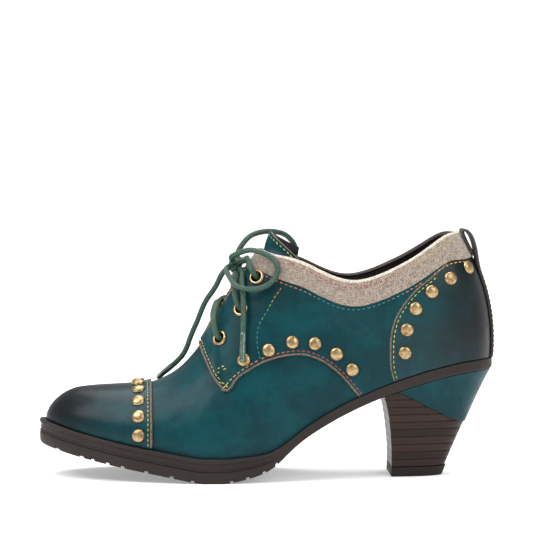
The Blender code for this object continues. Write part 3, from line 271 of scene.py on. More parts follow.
# Side outline of a quarter: shares of LENGTH, and heights as shares of UPPER_RISE over the floor
QUARTER_EDGE = (
    (0.352, 0.700),
    (0.362, 0.615),
    (0.372, 0.560),
    (0.384, 0.505),
    (0.409, 0.450),
    (0.428, 0.500),
    (0.456, 0.548),
    (0.490, 0.590),
    (0.530, 0.616),
    (0.566, 0.624),
    (0.598, 0.610),
    (0.632, 0.570),
    (0.662, 0.512),
    (0.686, 0.450),
    (0.712, 0.380),
    (0.740, 0.300),
)
FLAP_CORNER = 4

# Front edge of the counter, from the sole to the collar band
COUNTER_EDGE = (
    (0.792, 0.380),
    (0.778, 0.475),
    (0.768, 0.545),
    (0.766, 0.640),
    (0.768, 0.720),
    (0.777, 0.795),
    (0.795, 0.865),
    (0.822, 0.935),
    (0.853, 0.990),
    (0.890, 1.060),
)
CAP_EDGE = 0.2455

# The stitched line behind the eyelets, and the bar-tack at the flap's lower corner
FACING_STITCH = (
    (0.531, 0.945),
    (0.512, 0.885),
    (0.496, 0.821),
    (0.481, 0.762),
    (0.476, 0.684),
    (0.482, 0.596),
)
BAR_TACK = ((0.393, 0.536), (0.409, 0.558))
TACK_HALF = 0.0008
TACK_LIFT = 0.0004

# Studs and eyelets of one side, by their place in the side view
QUARTER_STUDS = (
    (0.447, 0.594),
    (0.500, 0.642),
    (0.551, 0.680),
    (0.601, 0.672),
    (0.648, 0.622),
    (0.682, 0.546),
)
COUNTER_STUDS = (
    (0.797, 0.629),
    (0.801, 0.742),
    (0.820, 0.845),
    (0.855, 0.926),
    (0.896, 0.987),
    (0.936, 1.034),
)
CAP_STUDS = 10
CAP_STUD_LINE = 0.2185
CAP_STUD_PITCH = 0.0101
EYELETS = (
    (0.399, 0.690),
    (0.444, 0.836),
    (0.479, 0.988),
)

# Free end of the tongue: distance from its middle as a share of BALL_WIDTH, then how far it
# stands out there, first straight on and then more upright, as shares of TONGUE_RISE
TONGUE_EDGE = (
    (-0.190, 0.12, 0.08),
    (-0.143, 0.32, 0.34),
    (-0.096, 0.32, 0.56),
    (0.096, 0.32, 0.66),
    (0.143, 0.38, 0.52),
    (0.190, 0.40, 0.22),
)

# Lines of the bow's loops and of the lace's ends, as shares of LENGTH, BALL_WIDTH and UPPER_RISE
KNOT_PLACE = (0.433, -0.018, 1.055)
LOOP_LATERAL = (
    (0.422, -0.072, 1.083),
    (0.441, -0.112, 1.112),
    (0.468, -0.166, 1.126),
    (0.495, -0.205, 1.109),
    (0.516, -0.237, 1.075),
    (0.521, -0.260, 1.033),
    (0.510, -0.279, 0.980),
    (0.483, -0.290, 0.945),
    (0.456, -0.305, 0.942),
    (0.434, -0.275, 0.953),
    (0.417, -0.172, 0.996),
    (0.412, -0.095, 1.035),
)
LOOP_MEDIAL = (
    (0.437, 0.018, 1.100),
    (0.449, 0.036, 1.148),
    (0.466, 0.071, 1.185),
    (0.490, 0.120, 1.202),
    (0.518, 0.195, 1.202),
    (0.540, 0.237, 1.190),
    (0.558, 0.285, 1.160),
    (0.570, 0.318, 1.115),
    (0.568, 0.338, 1.060),
    (0.545, 0.338, 1.010),
    (0.510, 0.322, 0.975),
    (0.480, 0.305, 0.962),
    (0.452, 0.255, 0.972),
    (0.430, 0.150, 1.010),
    (0.421, 0.062, 1.038),
)
END_LATERAL = (
    (0.4445, -0.085, 1.018),
    (0.4450, -0.172, 0.988),
    (0.4450, -0.226, 0.950),
    (0.4460, -0.295, 0.885),
    (0.4460, -0.329, 0.815),
    (0.4450, -0.352, 0.738),
    (0.4435, -0.383, 0.666),
    (0.4420, -0.420, 0.591),
)
END_MEDIAL = (
    (0.409, -0.012, 1.018),
    (0.390, 0.000, 0.944),
    (0.367, 0.012, 0.865),
    (0.349, 0.024, 0.769),
    (0.334, 0.047, 0.688),
    (0.320, 0.071, 0.606),
    (0.299, 0.105, 0.548),
    (0.276, 0.170, 0.500),
    (0.262, 0.245, 0.464),
)

# Lower boundary between the teal heel cover and the stacked part, in the side view
COVER_LINE = (
    (0.740, 0.470),
    (0.786, 0.428),
    (0.814, 0.400),
    (0.860, 0.342),
    (0.906, 0.287),
    (0.926, 0.270),
    (0.960, 0.264),
    (1.040, 0.262),
)

# Heel form between its top and the floor: share of the height, how far the back and breast have
# moved to the tip's places, and how far the width has
HEEL_FORM = np.array((
    (0.00, 1.00, 1.00, 1.00),
    (0.09, 0.92, 1.02, 0.95),
    (0.30, 0.72, 1.02, 0.80),
    (0.55, 0.47, 0.84, 0.58),
    (0.80, 0.22, 0.50, 0.30),
    (1.00, 0.00, 0.00, 0.00),
))

# Main creases of the leather: place in the side view as shares of LENGTH and UPPER_RISE, slant in
# degrees, then half length, half width and depth in metres
CREASES = (
    (0.352, 0.415, 62, 0.015, 0.0022, 0.00014),
    (0.322, 0.380, 55, 0.012, 0.0020, 0.00010),
    (0.300, 0.300, 30, 0.013, 0.0024, 0.00012),
    (0.440, 0.330, -35, 0.016, 0.0024, 0.00022),
    (0.620, 0.740, 15, 0.016, 0.0026, 0.00030),
    (0.700, 0.700, -20, 0.014, 0.0024, 0.00026),
    (0.745, 0.610, 80, 0.012, 0.0018, 0.00030),
    (0.560, 0.480, -12, 0.018, 0.0030, 0.00022),
    (0.850, 0.560, 70, 0.011, 0.0024, 0.00022),
)

# Level of the stitches along the facings' front edges
FACING_EDGE = 0.976

# Darkened places of the leather, burnish on the toe and heel and painted shade on the upper:
# x and z in shares of LENGTH and UPPER_RISE, y in shares of BALL_WIDTH, the radius in metres
# and how strong the darkening is
TOE_SHADES = ((0.055, 0.05, 0.42, 0.045, 0.97), (0.150, 0.06, 0.60, 0.033, 0.90))
HEEL_SHADES = ((1.010, 0.00, 0.78, 0.058, 1.0), (0.965, 0.00, 1.06, 0.044, 0.95))
# Painted shade on the upper's leather: under the lateral bow loop, at the top of the heel's breast
# over the arch, and on the vamp just behind the cap
UPPER_SHADES = (
    (0.300, 0.05, 0.52, 0.022, 0.35),
    (0.770, 0.00, 0.36, 0.030, 0.35),
    (0.520, -0.30, 0.95, 0.020, 0.30),
)

# How near a side-view point lies to the upper where it counts as on it
ON_SIDE = 0.0004
RAW_EDGE = 0.00072

STATIONS = 176
RISERS = 40
CORD_SIDES = 14
AGLET_LENGTH = 0.017


class ShoeSizes(PropertyGroup):
    """Sizes of the finish that can be changed by themselves."""

    stitch_length: FloatProperty(
        name="Stitch length", description="Length of one stitch", default=0.0021,
        subtype="DISTANCE", unit="LENGTH",
    )
    stitch_pitch: FloatProperty(
        name="Stitch pitch", description="From one stitch to the next", default=0.0028,
        subtype="DISTANCE", unit="LENGTH",
    )
    thread: FloatProperty(
        name="Thread", description="Thickness of the sewing thread", default=0.00055,
        subtype="DISTANCE", unit="LENGTH",
    )
    stitch_inset: FloatProperty(
        name="Stitch inset", description="From a piece's edge to its stitches", default=0.0016,
        subtype="DISTANCE", unit="LENGTH",
    )
    layer_pitch: FloatProperty(
        name="Heel layer", description="Height of one layer of the stacked heel",
        default=0.0042, subtype="DISTANCE", unit="LENGTH",
    )
    weave: FloatProperty(
        name="Weave", description="Distance between the linen's threads", default=0.00115,
        subtype="DISTANCE", unit="LENGTH",
    )
    seed: IntProperty(name="Seed", description="Of the stitches' small differences", default=7)


def colour_property(name, description, default):
    """A colour of the panel, in linear values."""
    return FloatVectorProperty(
        name=name, description=description, default=default, subtype="COLOR", size=3,
        min=0.0, max=1.0,
    )


class ShoeColours(PropertyGroup):
    """Base colours of the materials."""

    teal: colour_property("Teal", "The upper's leather", (0.0004, 0.043, 0.051))
    teal_deep: colour_property("Deep teal", "The leather's darker clouds", (0.0003, 0.025, 0.031))
    # Colour of the burnished toe and heel, and also of the painted shade spots on the upper
    burnish_and_shade: colour_property("Burnish", "The darkened toe and heel", (0.0030, 0.0042, 0.0048))
    raw_edge: colour_property("Cut edge", "Raw leather edges", (0.190, 0.125, 0.088))
    linen: colour_property("Linen", "The band's light threads", (0.36, 0.30, 0.245))
    linen_dark: colour_property("Linen shade", "The band's dark threads", (0.125, 0.096, 0.076))
    lining: colour_property("Lining", "Inside of the shoe", (0.010, 0.007, 0.006))
    rubber: colour_property("Rubber", "The sole", (0.022, 0.0165, 0.0142))
    stack: colour_property("Stack", "Layers of the heel", (0.024, 0.0115, 0.0092))
    stack_dark: colour_property("Stack joints", "Between the layers", (0.005, 0.0032, 0.0028))
    tip: colour_property("Heel tip", "The top piece's rubber", (0.013, 0.0095, 0.008))
    brass: colour_property("Brass", "Studs and eyelets", (0.40, 0.285, 0.150))
    lace: colour_property("Lace", "The waxed lace", (0.011, 0.042, 0.024))
    floor: colour_property("Floor", "The pale floor", (0.88, 0.88, 0.88))


# Thread colours by name, in linear values
THREADS = {
    "orange": (0.72, 0.20, 0.03),
    "yellow": (0.72, 0.56, 0.08),
    "green": (0.10, 0.36, 0.07),
    "lime": (0.36, 0.46, 0.07),
    "teal": (0.010, 0.20, 0.20),
    "red": (0.52, 0.05, 0.04),
    "olive": (0.30, 0.28, 0.06),
    "dark": (0.004, 0.003, 0.003),
}

THREAD_TONE = 0.8


def spline(keys, values):
    """A natural cubic spline through the values, straight beyond both ends."""
    keys = np.array(keys, float)
    values = np.array(values, float)
    steps = np.diff(keys)
    slopes = np.diff(values) / steps
    count = len(keys)
    matrix = np.eye(count)
    right = np.zeros(count)
    for i in range(1, count - 1):
        matrix[i, i - 1 : i + 2] = steps[i - 1], 2 * (steps[i - 1] + steps[i]), steps[i]
        right[i] = 6 * (slopes[i] - slopes[i - 1])
    bends = np.linalg.solve(matrix, right)

    def at(x):
        x = np.asarray(x, float)
        inside = np.clip(x, keys[0], keys[-1])
        i = np.clip(np.searchsorted(keys, inside) - 1, 0, count - 2)
        u = inside - keys[i]
        start = slopes[i] - steps[i] * (2 * bends[i] + bends[i + 1]) / 6
        change = (bends[i + 1] - bends[i]) / steps[i]
        value = values[i] + u * (start + u * (bends[i] / 2 + u * change / 6))
        slope = start + u * (bends[i] + u * change / 2)
        return value + slope * (x - inside)

    return at


def turn_of(along):
    """The outline parameter, 0 at the toe tip and 1 at the back, of a share along the shoe."""
    return np.arccos(1 - 2 * np.asarray(along, float)) / math.pi


def along_of(turn):
    """The share along the shoe of an outline parameter."""
    return (1 - np.cos(math.pi * np.asarray(turn, float))) / 2


def loop_spline():
    """The sole's edge across the shoe, round the whole outline, as one closed smooth curve."""
    turns = list(turn_of(OUTLINE[:, 0]))
    keys = turns + [2 - t for t in reversed(turns[1:-1])]
    values = list(OUTLINE[:, 1]) + list(OUTLINE[-2:0:-1, 2])
    keys = [k - 2 for k in keys] + keys + [k + 2 for k in keys]
    return spline(keys, values * 3)


EDGE_ACROSS = loop_spline()
SPRING, RISE, THICK = (spline(SOLE[:, 0], SOLE[:, i]) for i in (1, 2, 3))
RIDGE_RISE = spline(RIDGE[:, 0], RIDGE[:, 1])
COLLAR_RISE = spline(COLLAR[:, 0], COLLAR[:, 1])
LEDGE = spline((0, 0.15, 0.4, 0.62, 1), (TOE_LEDGE, 0.0042, SIDE_LEDGE, HEEL_LEDGE, HEEL_LEDGE))
SHAPE = {
    name: spline(SECTIONS[:, 0], SECTIONS[:, i]) for i, name in enumerate(SECTION_COLUMNS) if i
}
TOP_TURN = float(turn_of(TOP_SHARE))
RIDGE_TOP = float(SHAPE["ridge"](TOP_SHARE))


def unit(v):
    """Vectors made one long."""
    return v / np.linalg.norm(v, axis=-1, keepdims=True)


def xyz(x, y, z):
    """Points from their three coordinates."""
    return np.stack(np.broadcast_arrays(x, y, z), -1).astype(float)


def find_throat_turn():
    """The outline parameter whose wall ends where the throat starts on the ridge."""
    low, high = 0.3, TOP_TURN
    for _ in range(40):
        middle = (low + high) / 2
        if SHAPE["ridge"](along_of(middle)) < THROAT_START:
            low = middle
        else:
            high = middle
    return low


THROAT_TURN = find_throat_turn()


def sole_bottom(x):
    """Height of the sole's underside, from the floor, which it meets in one flat spot."""
    along = np.asarray(x, float) / LENGTH
    rising = TOE_SPRING * np.maximum(0, SPRING(along)) + HEEL_HEIGHT * np.maximum(0, RISE(along))
    flat = (along > FLAT_START - 0.003) & (along < FLAT_END + 0.003)
    return np.where(flat, 0.0, rising)


def sole_thickness(x):
    """Height of the sole's side wall."""
    share = np.clip(THICK(np.asarray(x, float) / LENGTH), 0, 1)
    return WAIST_SOLE + (FOREFOOT_SOLE - WAIST_SOLE) * share


def sole_top(x):
    """Height of the sole's upper face."""
    return sole_bottom(x) + sole_thickness(x)


def outline_point(side, turn, inset=0.0):
    """Points of the sole's plan outline, moved inwards, and the outward directions there."""
    turn = np.asarray(turn, float)
    step = 1e-4

    def at(t):
        across = EDGE_ACROSS(t if side < 0 else 2 - t)
        return np.stack([LENGTH * along_of(t), BALL_WIDTH * across], -1)

    along = at(turn + step) - at(turn - step)
    outward = unit(np.stack([along[..., 1], -along[..., 0]], -1)) * (1 if side < 0 else -1)
    return at(turn) - outward * np.asarray(inset)[..., None], outward


def feather_point(side, turn, inset=0.0):
    """Where the upper meets the sole, and the outward direction there."""
    plan, outward = outline_point(side, turn, LEDGE(along_of(turn)) + inset)
    flat = xyz(outward[..., 0], outward[..., 1], 0.0)
    return xyz(plan[..., 0], plan[..., 1], sole_top(plan[..., 0]) + GAP), flat


def ridge_point(x):
    """Points of the centre line over the toe and up the instep."""
    x = np.asarray(x, float)
    shift = TOE_SHIFT * np.maximum(0.0, 1 - x / (0.42 * LENGTH)) ** 1.5
    return xyz(x, shift, sole_top(x) + UPPER_RISE * RIDGE_RISE(x / LENGTH))


def ridge_way(x):
    """The direction of the centre line, backwards and up."""
    return unit(ridge_point(x + 1e-4) - ridge_point(x - 1e-4))


def collar_height(x):
    """Height of the collar's top line."""
    front, back = LENGTH * RIDGE_TOP, LENGTH * COLLAR_BACK
    share = np.clip((np.asarray(x, float) - front) / (back - front), 0, 1)
    return sole_top(x) + UPPER_RISE * COLLAR_RISE(share)


def throat_half(x):
    """Half the width between the two facings."""
    share = (np.asarray(x, float) / LENGTH - THROAT_START) / (RIDGE_TOP - THROAT_START)
    return THROAT_WIDTH * (0.34 + 0.36 * np.clip(share, 0, 1))


def crest_point(side, turn):
    """The top end of the wall: on the ridge, then on the facing's edge, then round the collar."""
    turn = np.asarray(turn, float)
    x_ridge = LENGTH * SHAPE["ridge"](along_of(turn))
    half = np.where(turn > THROAT_TURN + 1e-9, throat_half(x_ridge), 0.0)
    forward = ridge_point(x_ridge) + xyz(0.0, side * half, -half * half / THROAT_BEND)
    front, back = LENGTH * RIDGE_TOP, LENGTH * COLLAR_BACK
    first = math.asin(throat_half(front) / (COLLAR_WIDTH / 2))
    share = np.clip((turn - TOP_TURN) / (1 - TOP_TURN), 0, 1)
    angle = first + (math.pi - first) * share * (1 + 0.2 * (1 - share))
    start = math.sin(first / 2) ** 1.8
    along = (np.abs(np.sin(angle / 2)) ** 1.8 - start) / (1 - start)
    x = front + (back - front) * along
    across = np.where(share < 1, COLLAR_WIDTH / 2 * np.sin(angle), 0.0)
    sag = throat_half(front) ** 2 / THROAT_BEND * (1 - along)
    round_collar = xyz(x, side * across, collar_height(x) - sag)
    return np.where((turn <= TOP_TURN + 1e-9)[..., None], forward, round_collar)


def crest_direction(side, turn):
    """The way the wall leaves its top end, seen from above: forwards, sideways or backwards."""
    turn = np.asarray(turn, float)
    toe = turn < TOE_FAN
    angle = np.where(toe, math.pi / 2 * np.sin(math.pi / 2 * turn / TOE_FAN), math.pi / 2)
    back = math.pi * (1 - np.sin(math.pi / 2 * np.maximum(1 - turn, 0) / HEEL_FAN) / 2)
    angle = np.where(turn > 1 - HEEL_FAN, back, angle)[..., None]
    along = ridge_way(LENGTH * SHAPE["ridge"](along_of(turn)))
    along = np.where(toe[..., None], along, xyz(1.0, 0.0, 0.0))
    return -np.cos(angle) * along + np.sin(angle) * side * xyz(0.0, 1.0, 0.0)


def last_point(side, turn, level):
    """The outer face of the lasted upper. Level runs from 0 at the sole to 1 at the top."""
    turn, level = np.broadcast_arrays(np.asarray(turn, float), np.asarray(level, float))
    share = along_of(turn)
    foot, outward = feather_point(side, turn)
    crest = crest_point(side, turn)
    height = crest[..., 2] - foot[..., 2]
    low = foot + outward * (BALL_WIDTH * SHAPE["low_out"](share))[..., None]
    low[..., 2] += height * SHAPE["low_up"](share)
    high = crest + crest_direction(side, turn) * (BALL_WIDTH * SHAPE["high_out"](share))[..., None]
    high[..., 2] -= height * SHAPE["high_down"](share)
    v = level[..., None]
    rest = 1 - v
    return foot * rest**3 + low * 3 * rest**2 * v + high * 3 * rest * v**2 + crest * v**3


def last_normal(side, turn, level):
    """The outward normals of the last surface, the same from both sides where they meet."""
    turn, level = np.broadcast_arrays(np.asarray(turn, float), np.asarray(level, float))
    step = 1e-3
    t = np.clip(turn, 0, 1)
    inner = np.clip(t, step, 1 - step)
    v = np.clip(level, step, 1 - step)
    round_step = last_point(side, inner + step, v) - last_point(side, inner - step, v)
    up_step = last_point(side, inner, v + step) - last_point(side, inner, v - step)
    normal = unit(np.cross(round_step, up_step)) * (1 if side < 0 else -1)
    up = last_point(side, t, v + step) - last_point(side, t, v - step)
    ending = unit(xyz(-up[..., 2], 0.0, up[..., 0])) * np.where(t < 0.5, 1, -1)[..., None]
    at_end = (t < step) | (t > 1 - step)
    normal = np.where(at_end[..., None], ending, normal)
    way = ridge_way(LENGTH * SHAPE["ridge"](along_of(t)))
    on_ridge = (level > 1 - 1e-6) & (turn <= THROAT_TURN + 1e-9)
    return np.where(on_ridge[..., None], unit(xyz(-way[..., 2], 0.0, way[..., 0])), normal)


def crease_depth(points):
    """How far soft creases push the leather in, or their ridges lift it, at points of the last."""
    depth = np.zeros(points.shape[:-1])
    for along, height, slant, reach, width, deep in CREASES:
        x = points[..., 0] - along * LENGTH
        z = points[..., 2] - height * UPPER_RISE
        angle = math.radians(slant)
        length = x * math.cos(angle) + z * math.sin(angle)
        across = -x * math.sin(angle) + z * math.cos(angle)
        fade = np.exp(-((length / reach) ** 2))
        trough = np.exp(-((across / width) ** 2))
        ridges = np.exp(-(((np.abs(across) - 2.1 * width) / (1.3 * width)) ** 2))
        depth += deep * fade * (trough - 0.45 * ridges)
    return depth


def surface(side, turn, level, distance):
    """The creased last surface moved outwards by a distance, or inwards where it is negative."""
    point = last_point(side, turn, level)
    shift = np.asarray(distance) - crease_depth(point)
    return point + last_normal(side, turn, level) * shift[..., None]


def last_offset(side, turn, level, distance):
    """The plain last surface moved outwards by a distance."""
    return last_point(side, turn, level) + last_normal(side, turn, level) * distance


SEARCH_TURNS, SEARCH_LEVELS = np.meshgrid(np.linspace(0.2, 1, 161), np.linspace(0.02, 1, 60))
SEARCH = {side: last_point(side, SEARCH_TURNS, SEARCH_LEVELS)[..., (0, 2)] for side in (-1, 1)}


def places_on_side(side, line):
    """Outline parameters and levels where side-view points, in metres, meet the upper."""
    line = np.asarray(line, float).reshape(-1, 2)
    known = SEARCH[side].reshape(-1, 2)
    nearest = [np.argmin(((known - point) ** 2).sum(-1)) for point in line]
    turn, level = SEARCH_TURNS.ravel()[nearest], SEARCH_LEVELS.ravel()[nearest]
    around = np.array([(i, j) for i in (-1, 0, 1) for j in (-1, 0, 1)])
    step = np.full(len(line), 0.01)
    for _ in range(60):
        turns = np.minimum(turn[:, None] + around[:, 0] * step[:, None], 1.0)
        levels = np.minimum(level[:, None] + around[:, 1] * step[:, None], 1.0)
        found = last_point(side, turns, levels)[..., (0, 2)]
        miss = ((found - line[:, None]) ** 2).sum(-1)
        best = np.argmin(miss, axis=1)
        step = np.where(miss[np.arange(len(line)), best] < miss[:, 4] - 1e-16, step, step / 2)
        rows = np.arange(len(line))
        turn, level = turns[rows, best], levels[rows, best]
        if step.max() < 1e-5:
            break
    return turn, level


def on_side(side, line):
    """Outline parameters and levels of the part of a side-view line that lies on the upper."""
    turn, level = places_on_side(side, line)
    found = last_point(side, turn, level)[:, (0, 2)]
    near = np.linalg.norm(found - np.asarray(line, float), axis=1) < ON_SIDE
    near &= (level > 0.004) & (turn > 0.2)
    return turn[near], level[near]


def place_on_side(side, along, height):
    """The outline parameter and level of one place given in shares."""
    turn, level = places_on_side(side, [(along * LENGTH, height * UPPER_RISE)])
    return float(turn[0]), float(level[0])


def link(made):
    """Adds an object to the scene."""
    bpy.context.scene.collection.objects.link(made)
    return made


def mesh_piece(name, vertices, faces, finishes, uv=None, finish_of=None, merge=1e-6):
    """A mesh object with doubled corners merged and faces turned outwards."""
    mesh = bpy.data.meshes.new(name)
    mesh.from_pydata(np.asarray(vertices, float).reshape(-1, 3).tolist(), [], list(faces))
    for finish in finishes:
        mesh.materials.append(finish)
    if finish_of is not None:
        mesh.polygons.foreach_set("material_index", np.asarray(finish_of, np.int32))
    if uv is not None:
        layer = mesh.uv_layers.new(name="surface")
        corners = np.zeros(len(mesh.loops), np.int32)
        mesh.loops.foreach_get("vertex_index", corners)
        layer.data.foreach_set("uv", np.asarray(uv, np.float32).reshape(-1, 2)[corners].ravel())
    bm = bmesh.new()
    bm.from_mesh(mesh)
    bmesh.ops.remove_doubles(bm, verts=bm.verts, dist=merge)
    bmesh.ops.dissolve_degenerate(bm, edges=bm.edges, dist=merge)
    bmesh.ops.recalc_face_normals(bm, faces=bm.faces)
    bm.to_mesh(mesh)
    bm.free()
    return link(bpy.data.objects.new(name, mesh))


def evaluated(made):
    """Replaces an object's mesh by what its modifiers make of it."""
    bpy.context.view_layer.update()
    graph = bpy.context.evaluated_depsgraph_get()
    mesh = bpy.data.meshes.new_from_object(made.evaluated_get(graph))
    made.modifiers.clear()
    made.data = mesh
    return made


def smooth_shading(made, angle=42):
    """Smooth shading, with edges kept sharp past an angle."""
    made.data.shade_smooth()
    made.data.set_sharp_from_angle(angle=math.radians(angle))
    return made


def subdivided(made, levels):
    """One or more levels of Subdivision Surface, applied."""
    step = made.modifiers.new("subdivide", "SUBSURF")
    step.levels = levels
    step.render_levels = levels
    return evaluated(made)


def cut(target, tool, operation):
    """A Boolean step, applied. The cut faces take the tool's finish."""
    step = target.modifiers.new(operation.lower(), "BOOLEAN")
    step.operation = operation
    step.object = tool
    step.solver = "EXACT"
    step.material_mode = "TRANSFER"
    evaluated(target)
    bpy.data.objects.remove(tool)
    return target


def finished(made, slot, *nodes):
    """Moves a finished mesh into the frame, lets it ride on the shoe and stand for its solids."""
    made.data.transform(Matrix.Translation(SHIFT))
    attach(made, "root")
    if nodes:
        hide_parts(*nodes)
    return made


def prism(name, outline, low, high, finish):
    """A prism across the shoe whose outline is given in the side view, as x and z."""
    count = len(outline)
    vertices = [(x, low, z) for x, z in outline] + [(x, high, z) for x, z in outline]
    faces = [list(range(count)), list(range(count, 2 * count))]
    for i in range(count):
        j = (i + 1) % count
        faces.append([i, j, count + j, count + i])
    return mesh_piece(name, vertices, faces, [finish])


def side_curve(rows, steps):
    """Points along a smooth side-view line through rows of shares."""
    rows = np.array(rows, float)
    keys = np.arange(len(rows))
    places = np.arange((len(rows) - 1) * steps + 1) / steps
    across = spline(keys, rows[:, 0] * LENGTH)(places)
    up = spline(keys, rows[:, 1] * UPPER_RISE)(places)
    return list(zip(across.tolist(), up.tolist()))


def shifted(points, distance):
    """A side-view line moved to its left by a distance."""
    points = np.array(points, float)
    way = unit(np.gradient(points, axis=0))
    return [(x - w[1] * distance, z + w[0] * distance) for (x, z), w in zip(points, way)]


def band_line(distance, count=64):
    """The side-view line under the collar band, moved down by a distance."""
    front, back = LENGTH * RIDGE_TOP, LENGTH * COLLAR_BACK
    points = [(front - 0.030, float(collar_height(front)) - 0.72 * BAND_HEIGHT + 0.006)]
    for i in range(count + 1):
        x = front - 0.006 + (back + 0.008 - front) * i / count
        drop = BAND_HEIGHT * (0.78 + 0.22 * min(1.0, i / (count * 3 / 16)))
        points.append((x, float(collar_height(min(max(x, front), back))) - drop))
    points.append((back + 0.030, points[-1][1] + 0.004))
    return [(x, z - distance) for x, z in points]


def arc_lengths(grid, axis):
    """Distances along the lines of a grid of points."""
    steps = np.linalg.norm(np.diff(grid, axis=axis), axis=-1)
    start = np.zeros_like(np.take(steps, [0], axis=axis))
    return np.concatenate([start, np.cumsum(steps, axis=axis)], axis=axis)


def wall(side, turns, levels, distance):
    """An offset grid of the creased surface, whose lowest row stands level, clear of the sole."""
    grid = surface(side, turns[:, None], levels[None, :], distance)
    low = levels < 1e-6
    if low.any():
        grid[:, low, 2] = (last_point(side, turns, 0.0)[:, 2] + GAP)[:, None]
    return grid


def rim_direction(side, turns):
    """Along the surface, square to the upper's cut edge and away from it."""
    step = 1e-3
    inner = np.minimum(turns, 1 - 2 * step)
    edge = unit(crest_point(side, inner + step) - crest_point(side, inner - step))
    edge = np.where((turns > 1 - step)[:, None], xyz(0.0, 1.0, 0.0), edge)
    away = unit(np.cross(last_normal(side, turns, 1.0), edge))
    rising = last_point(side, turns, 1.0) - last_point(side, turns, 0.96)
    return away * np.sign((away * rising).sum(-1))[:, None]


def fold(outside, inside, rise, count=7):
    """Points of a round fold from an outer row over a cut edge to an inner row."""
    middle, half = (outside + inside) / 2, (outside - inside) / 2
    angles = np.linspace(0, math.pi, count + 2)[1:-1]
    steps = [middle + half * math.cos(a) + rise * math.sin(a) for a in angles]
    return np.stack(steps, axis=1)


def slab(name, sides, turns, outer, inner, look, first=0.0, rim=0.0, inner_look=None):
    """A slab of the surface between two offsets, up to the top and, if asked, folded over the rim,
    where its inner half may have another look and its top a worn one."""
    levels = np.linspace(first, 1, RISERS + 1)
    vertices, uvs, faces, index = [], [], [], []
    start = 0
    for side in sides:
        outside = wall(side, turns, levels, outer)
        inside = wall(side, turns, levels[::-1], inner)
        parts = [outside, inside]
        if rim:
            up = rim_direction(side, turns)
            over = surface(side, turns, 1.0, -rim - (outer - inner))
            cover = surface(side, turns, 1.0, -rim)
            outer_fold = fold(outside[:, -1], over, up * (GAP + outer - inner))
            inner_fold = fold(inside[:, 0], cover, up * GAP)
            parts = [outside, outer_fold, inner_fold[:, ::-1], inside]
        section = np.concatenate(parts, axis=1)
        size = section.shape[1]
        along = arc_lengths(section[:, [RISERS]], 0)
        uvs.append(np.stack(np.broadcast_arrays(along, arc_lengths(section, 1)), -1))
        vertices.append(section)
        for i in range(len(turns) - 1):
            ridge = len(sides) == 2 and turns[i + 1] <= THROAT_TURN + 1e-9
            a, b = start + i * size, start + (i + 1) * size
            for j in range(size):
                k = (j + 1) % size
                if not (ridge and RISERS <= j < size - RISERS - 1):
                    faces.append([a + j, b + j, b + k, a + k])
                    top = int(np.clip((j - RISERS + 4) // 4, 0, 2)) if j < size - RISERS else 0
                    index.append((0, 2, 1)[top] if inner_look else 0)
        for i in (0, len(turns) - 1):
            if len(sides) == 2 and turns[i] in (0.0, 1.0):
                continue
            a = start + i * size
            for j in range(size // 2 - 1):
                faces.append([a + j, a + j + 1, a + size - 2 - j, a + size - 1 - j])
                index.append(0)
        start += len(turns) * size
    points = np.concatenate([v.reshape(-1, 3) for v in vertices])
    uv = np.concatenate([v.reshape(-1, 2) for v in uvs])
    looks = [look, inner_look, finish("frayed_linen")] if inner_look else [look]
    return mesh_piece(name, points, faces, looks, uv=uv, finish_of=index)


def turns_between(first, last):
    """Stations round the shoe between two outline parameters, the throat's start among them."""
    turns = np.linspace(0, 1, STATIONS + 1)
    nearest = np.argmin(np.abs(turns - THROAT_TURN))
    turns[nearest] = THROAT_TURN
    return turns[(turns >= first - 1e-9) & (turns <= last + 1e-9)]


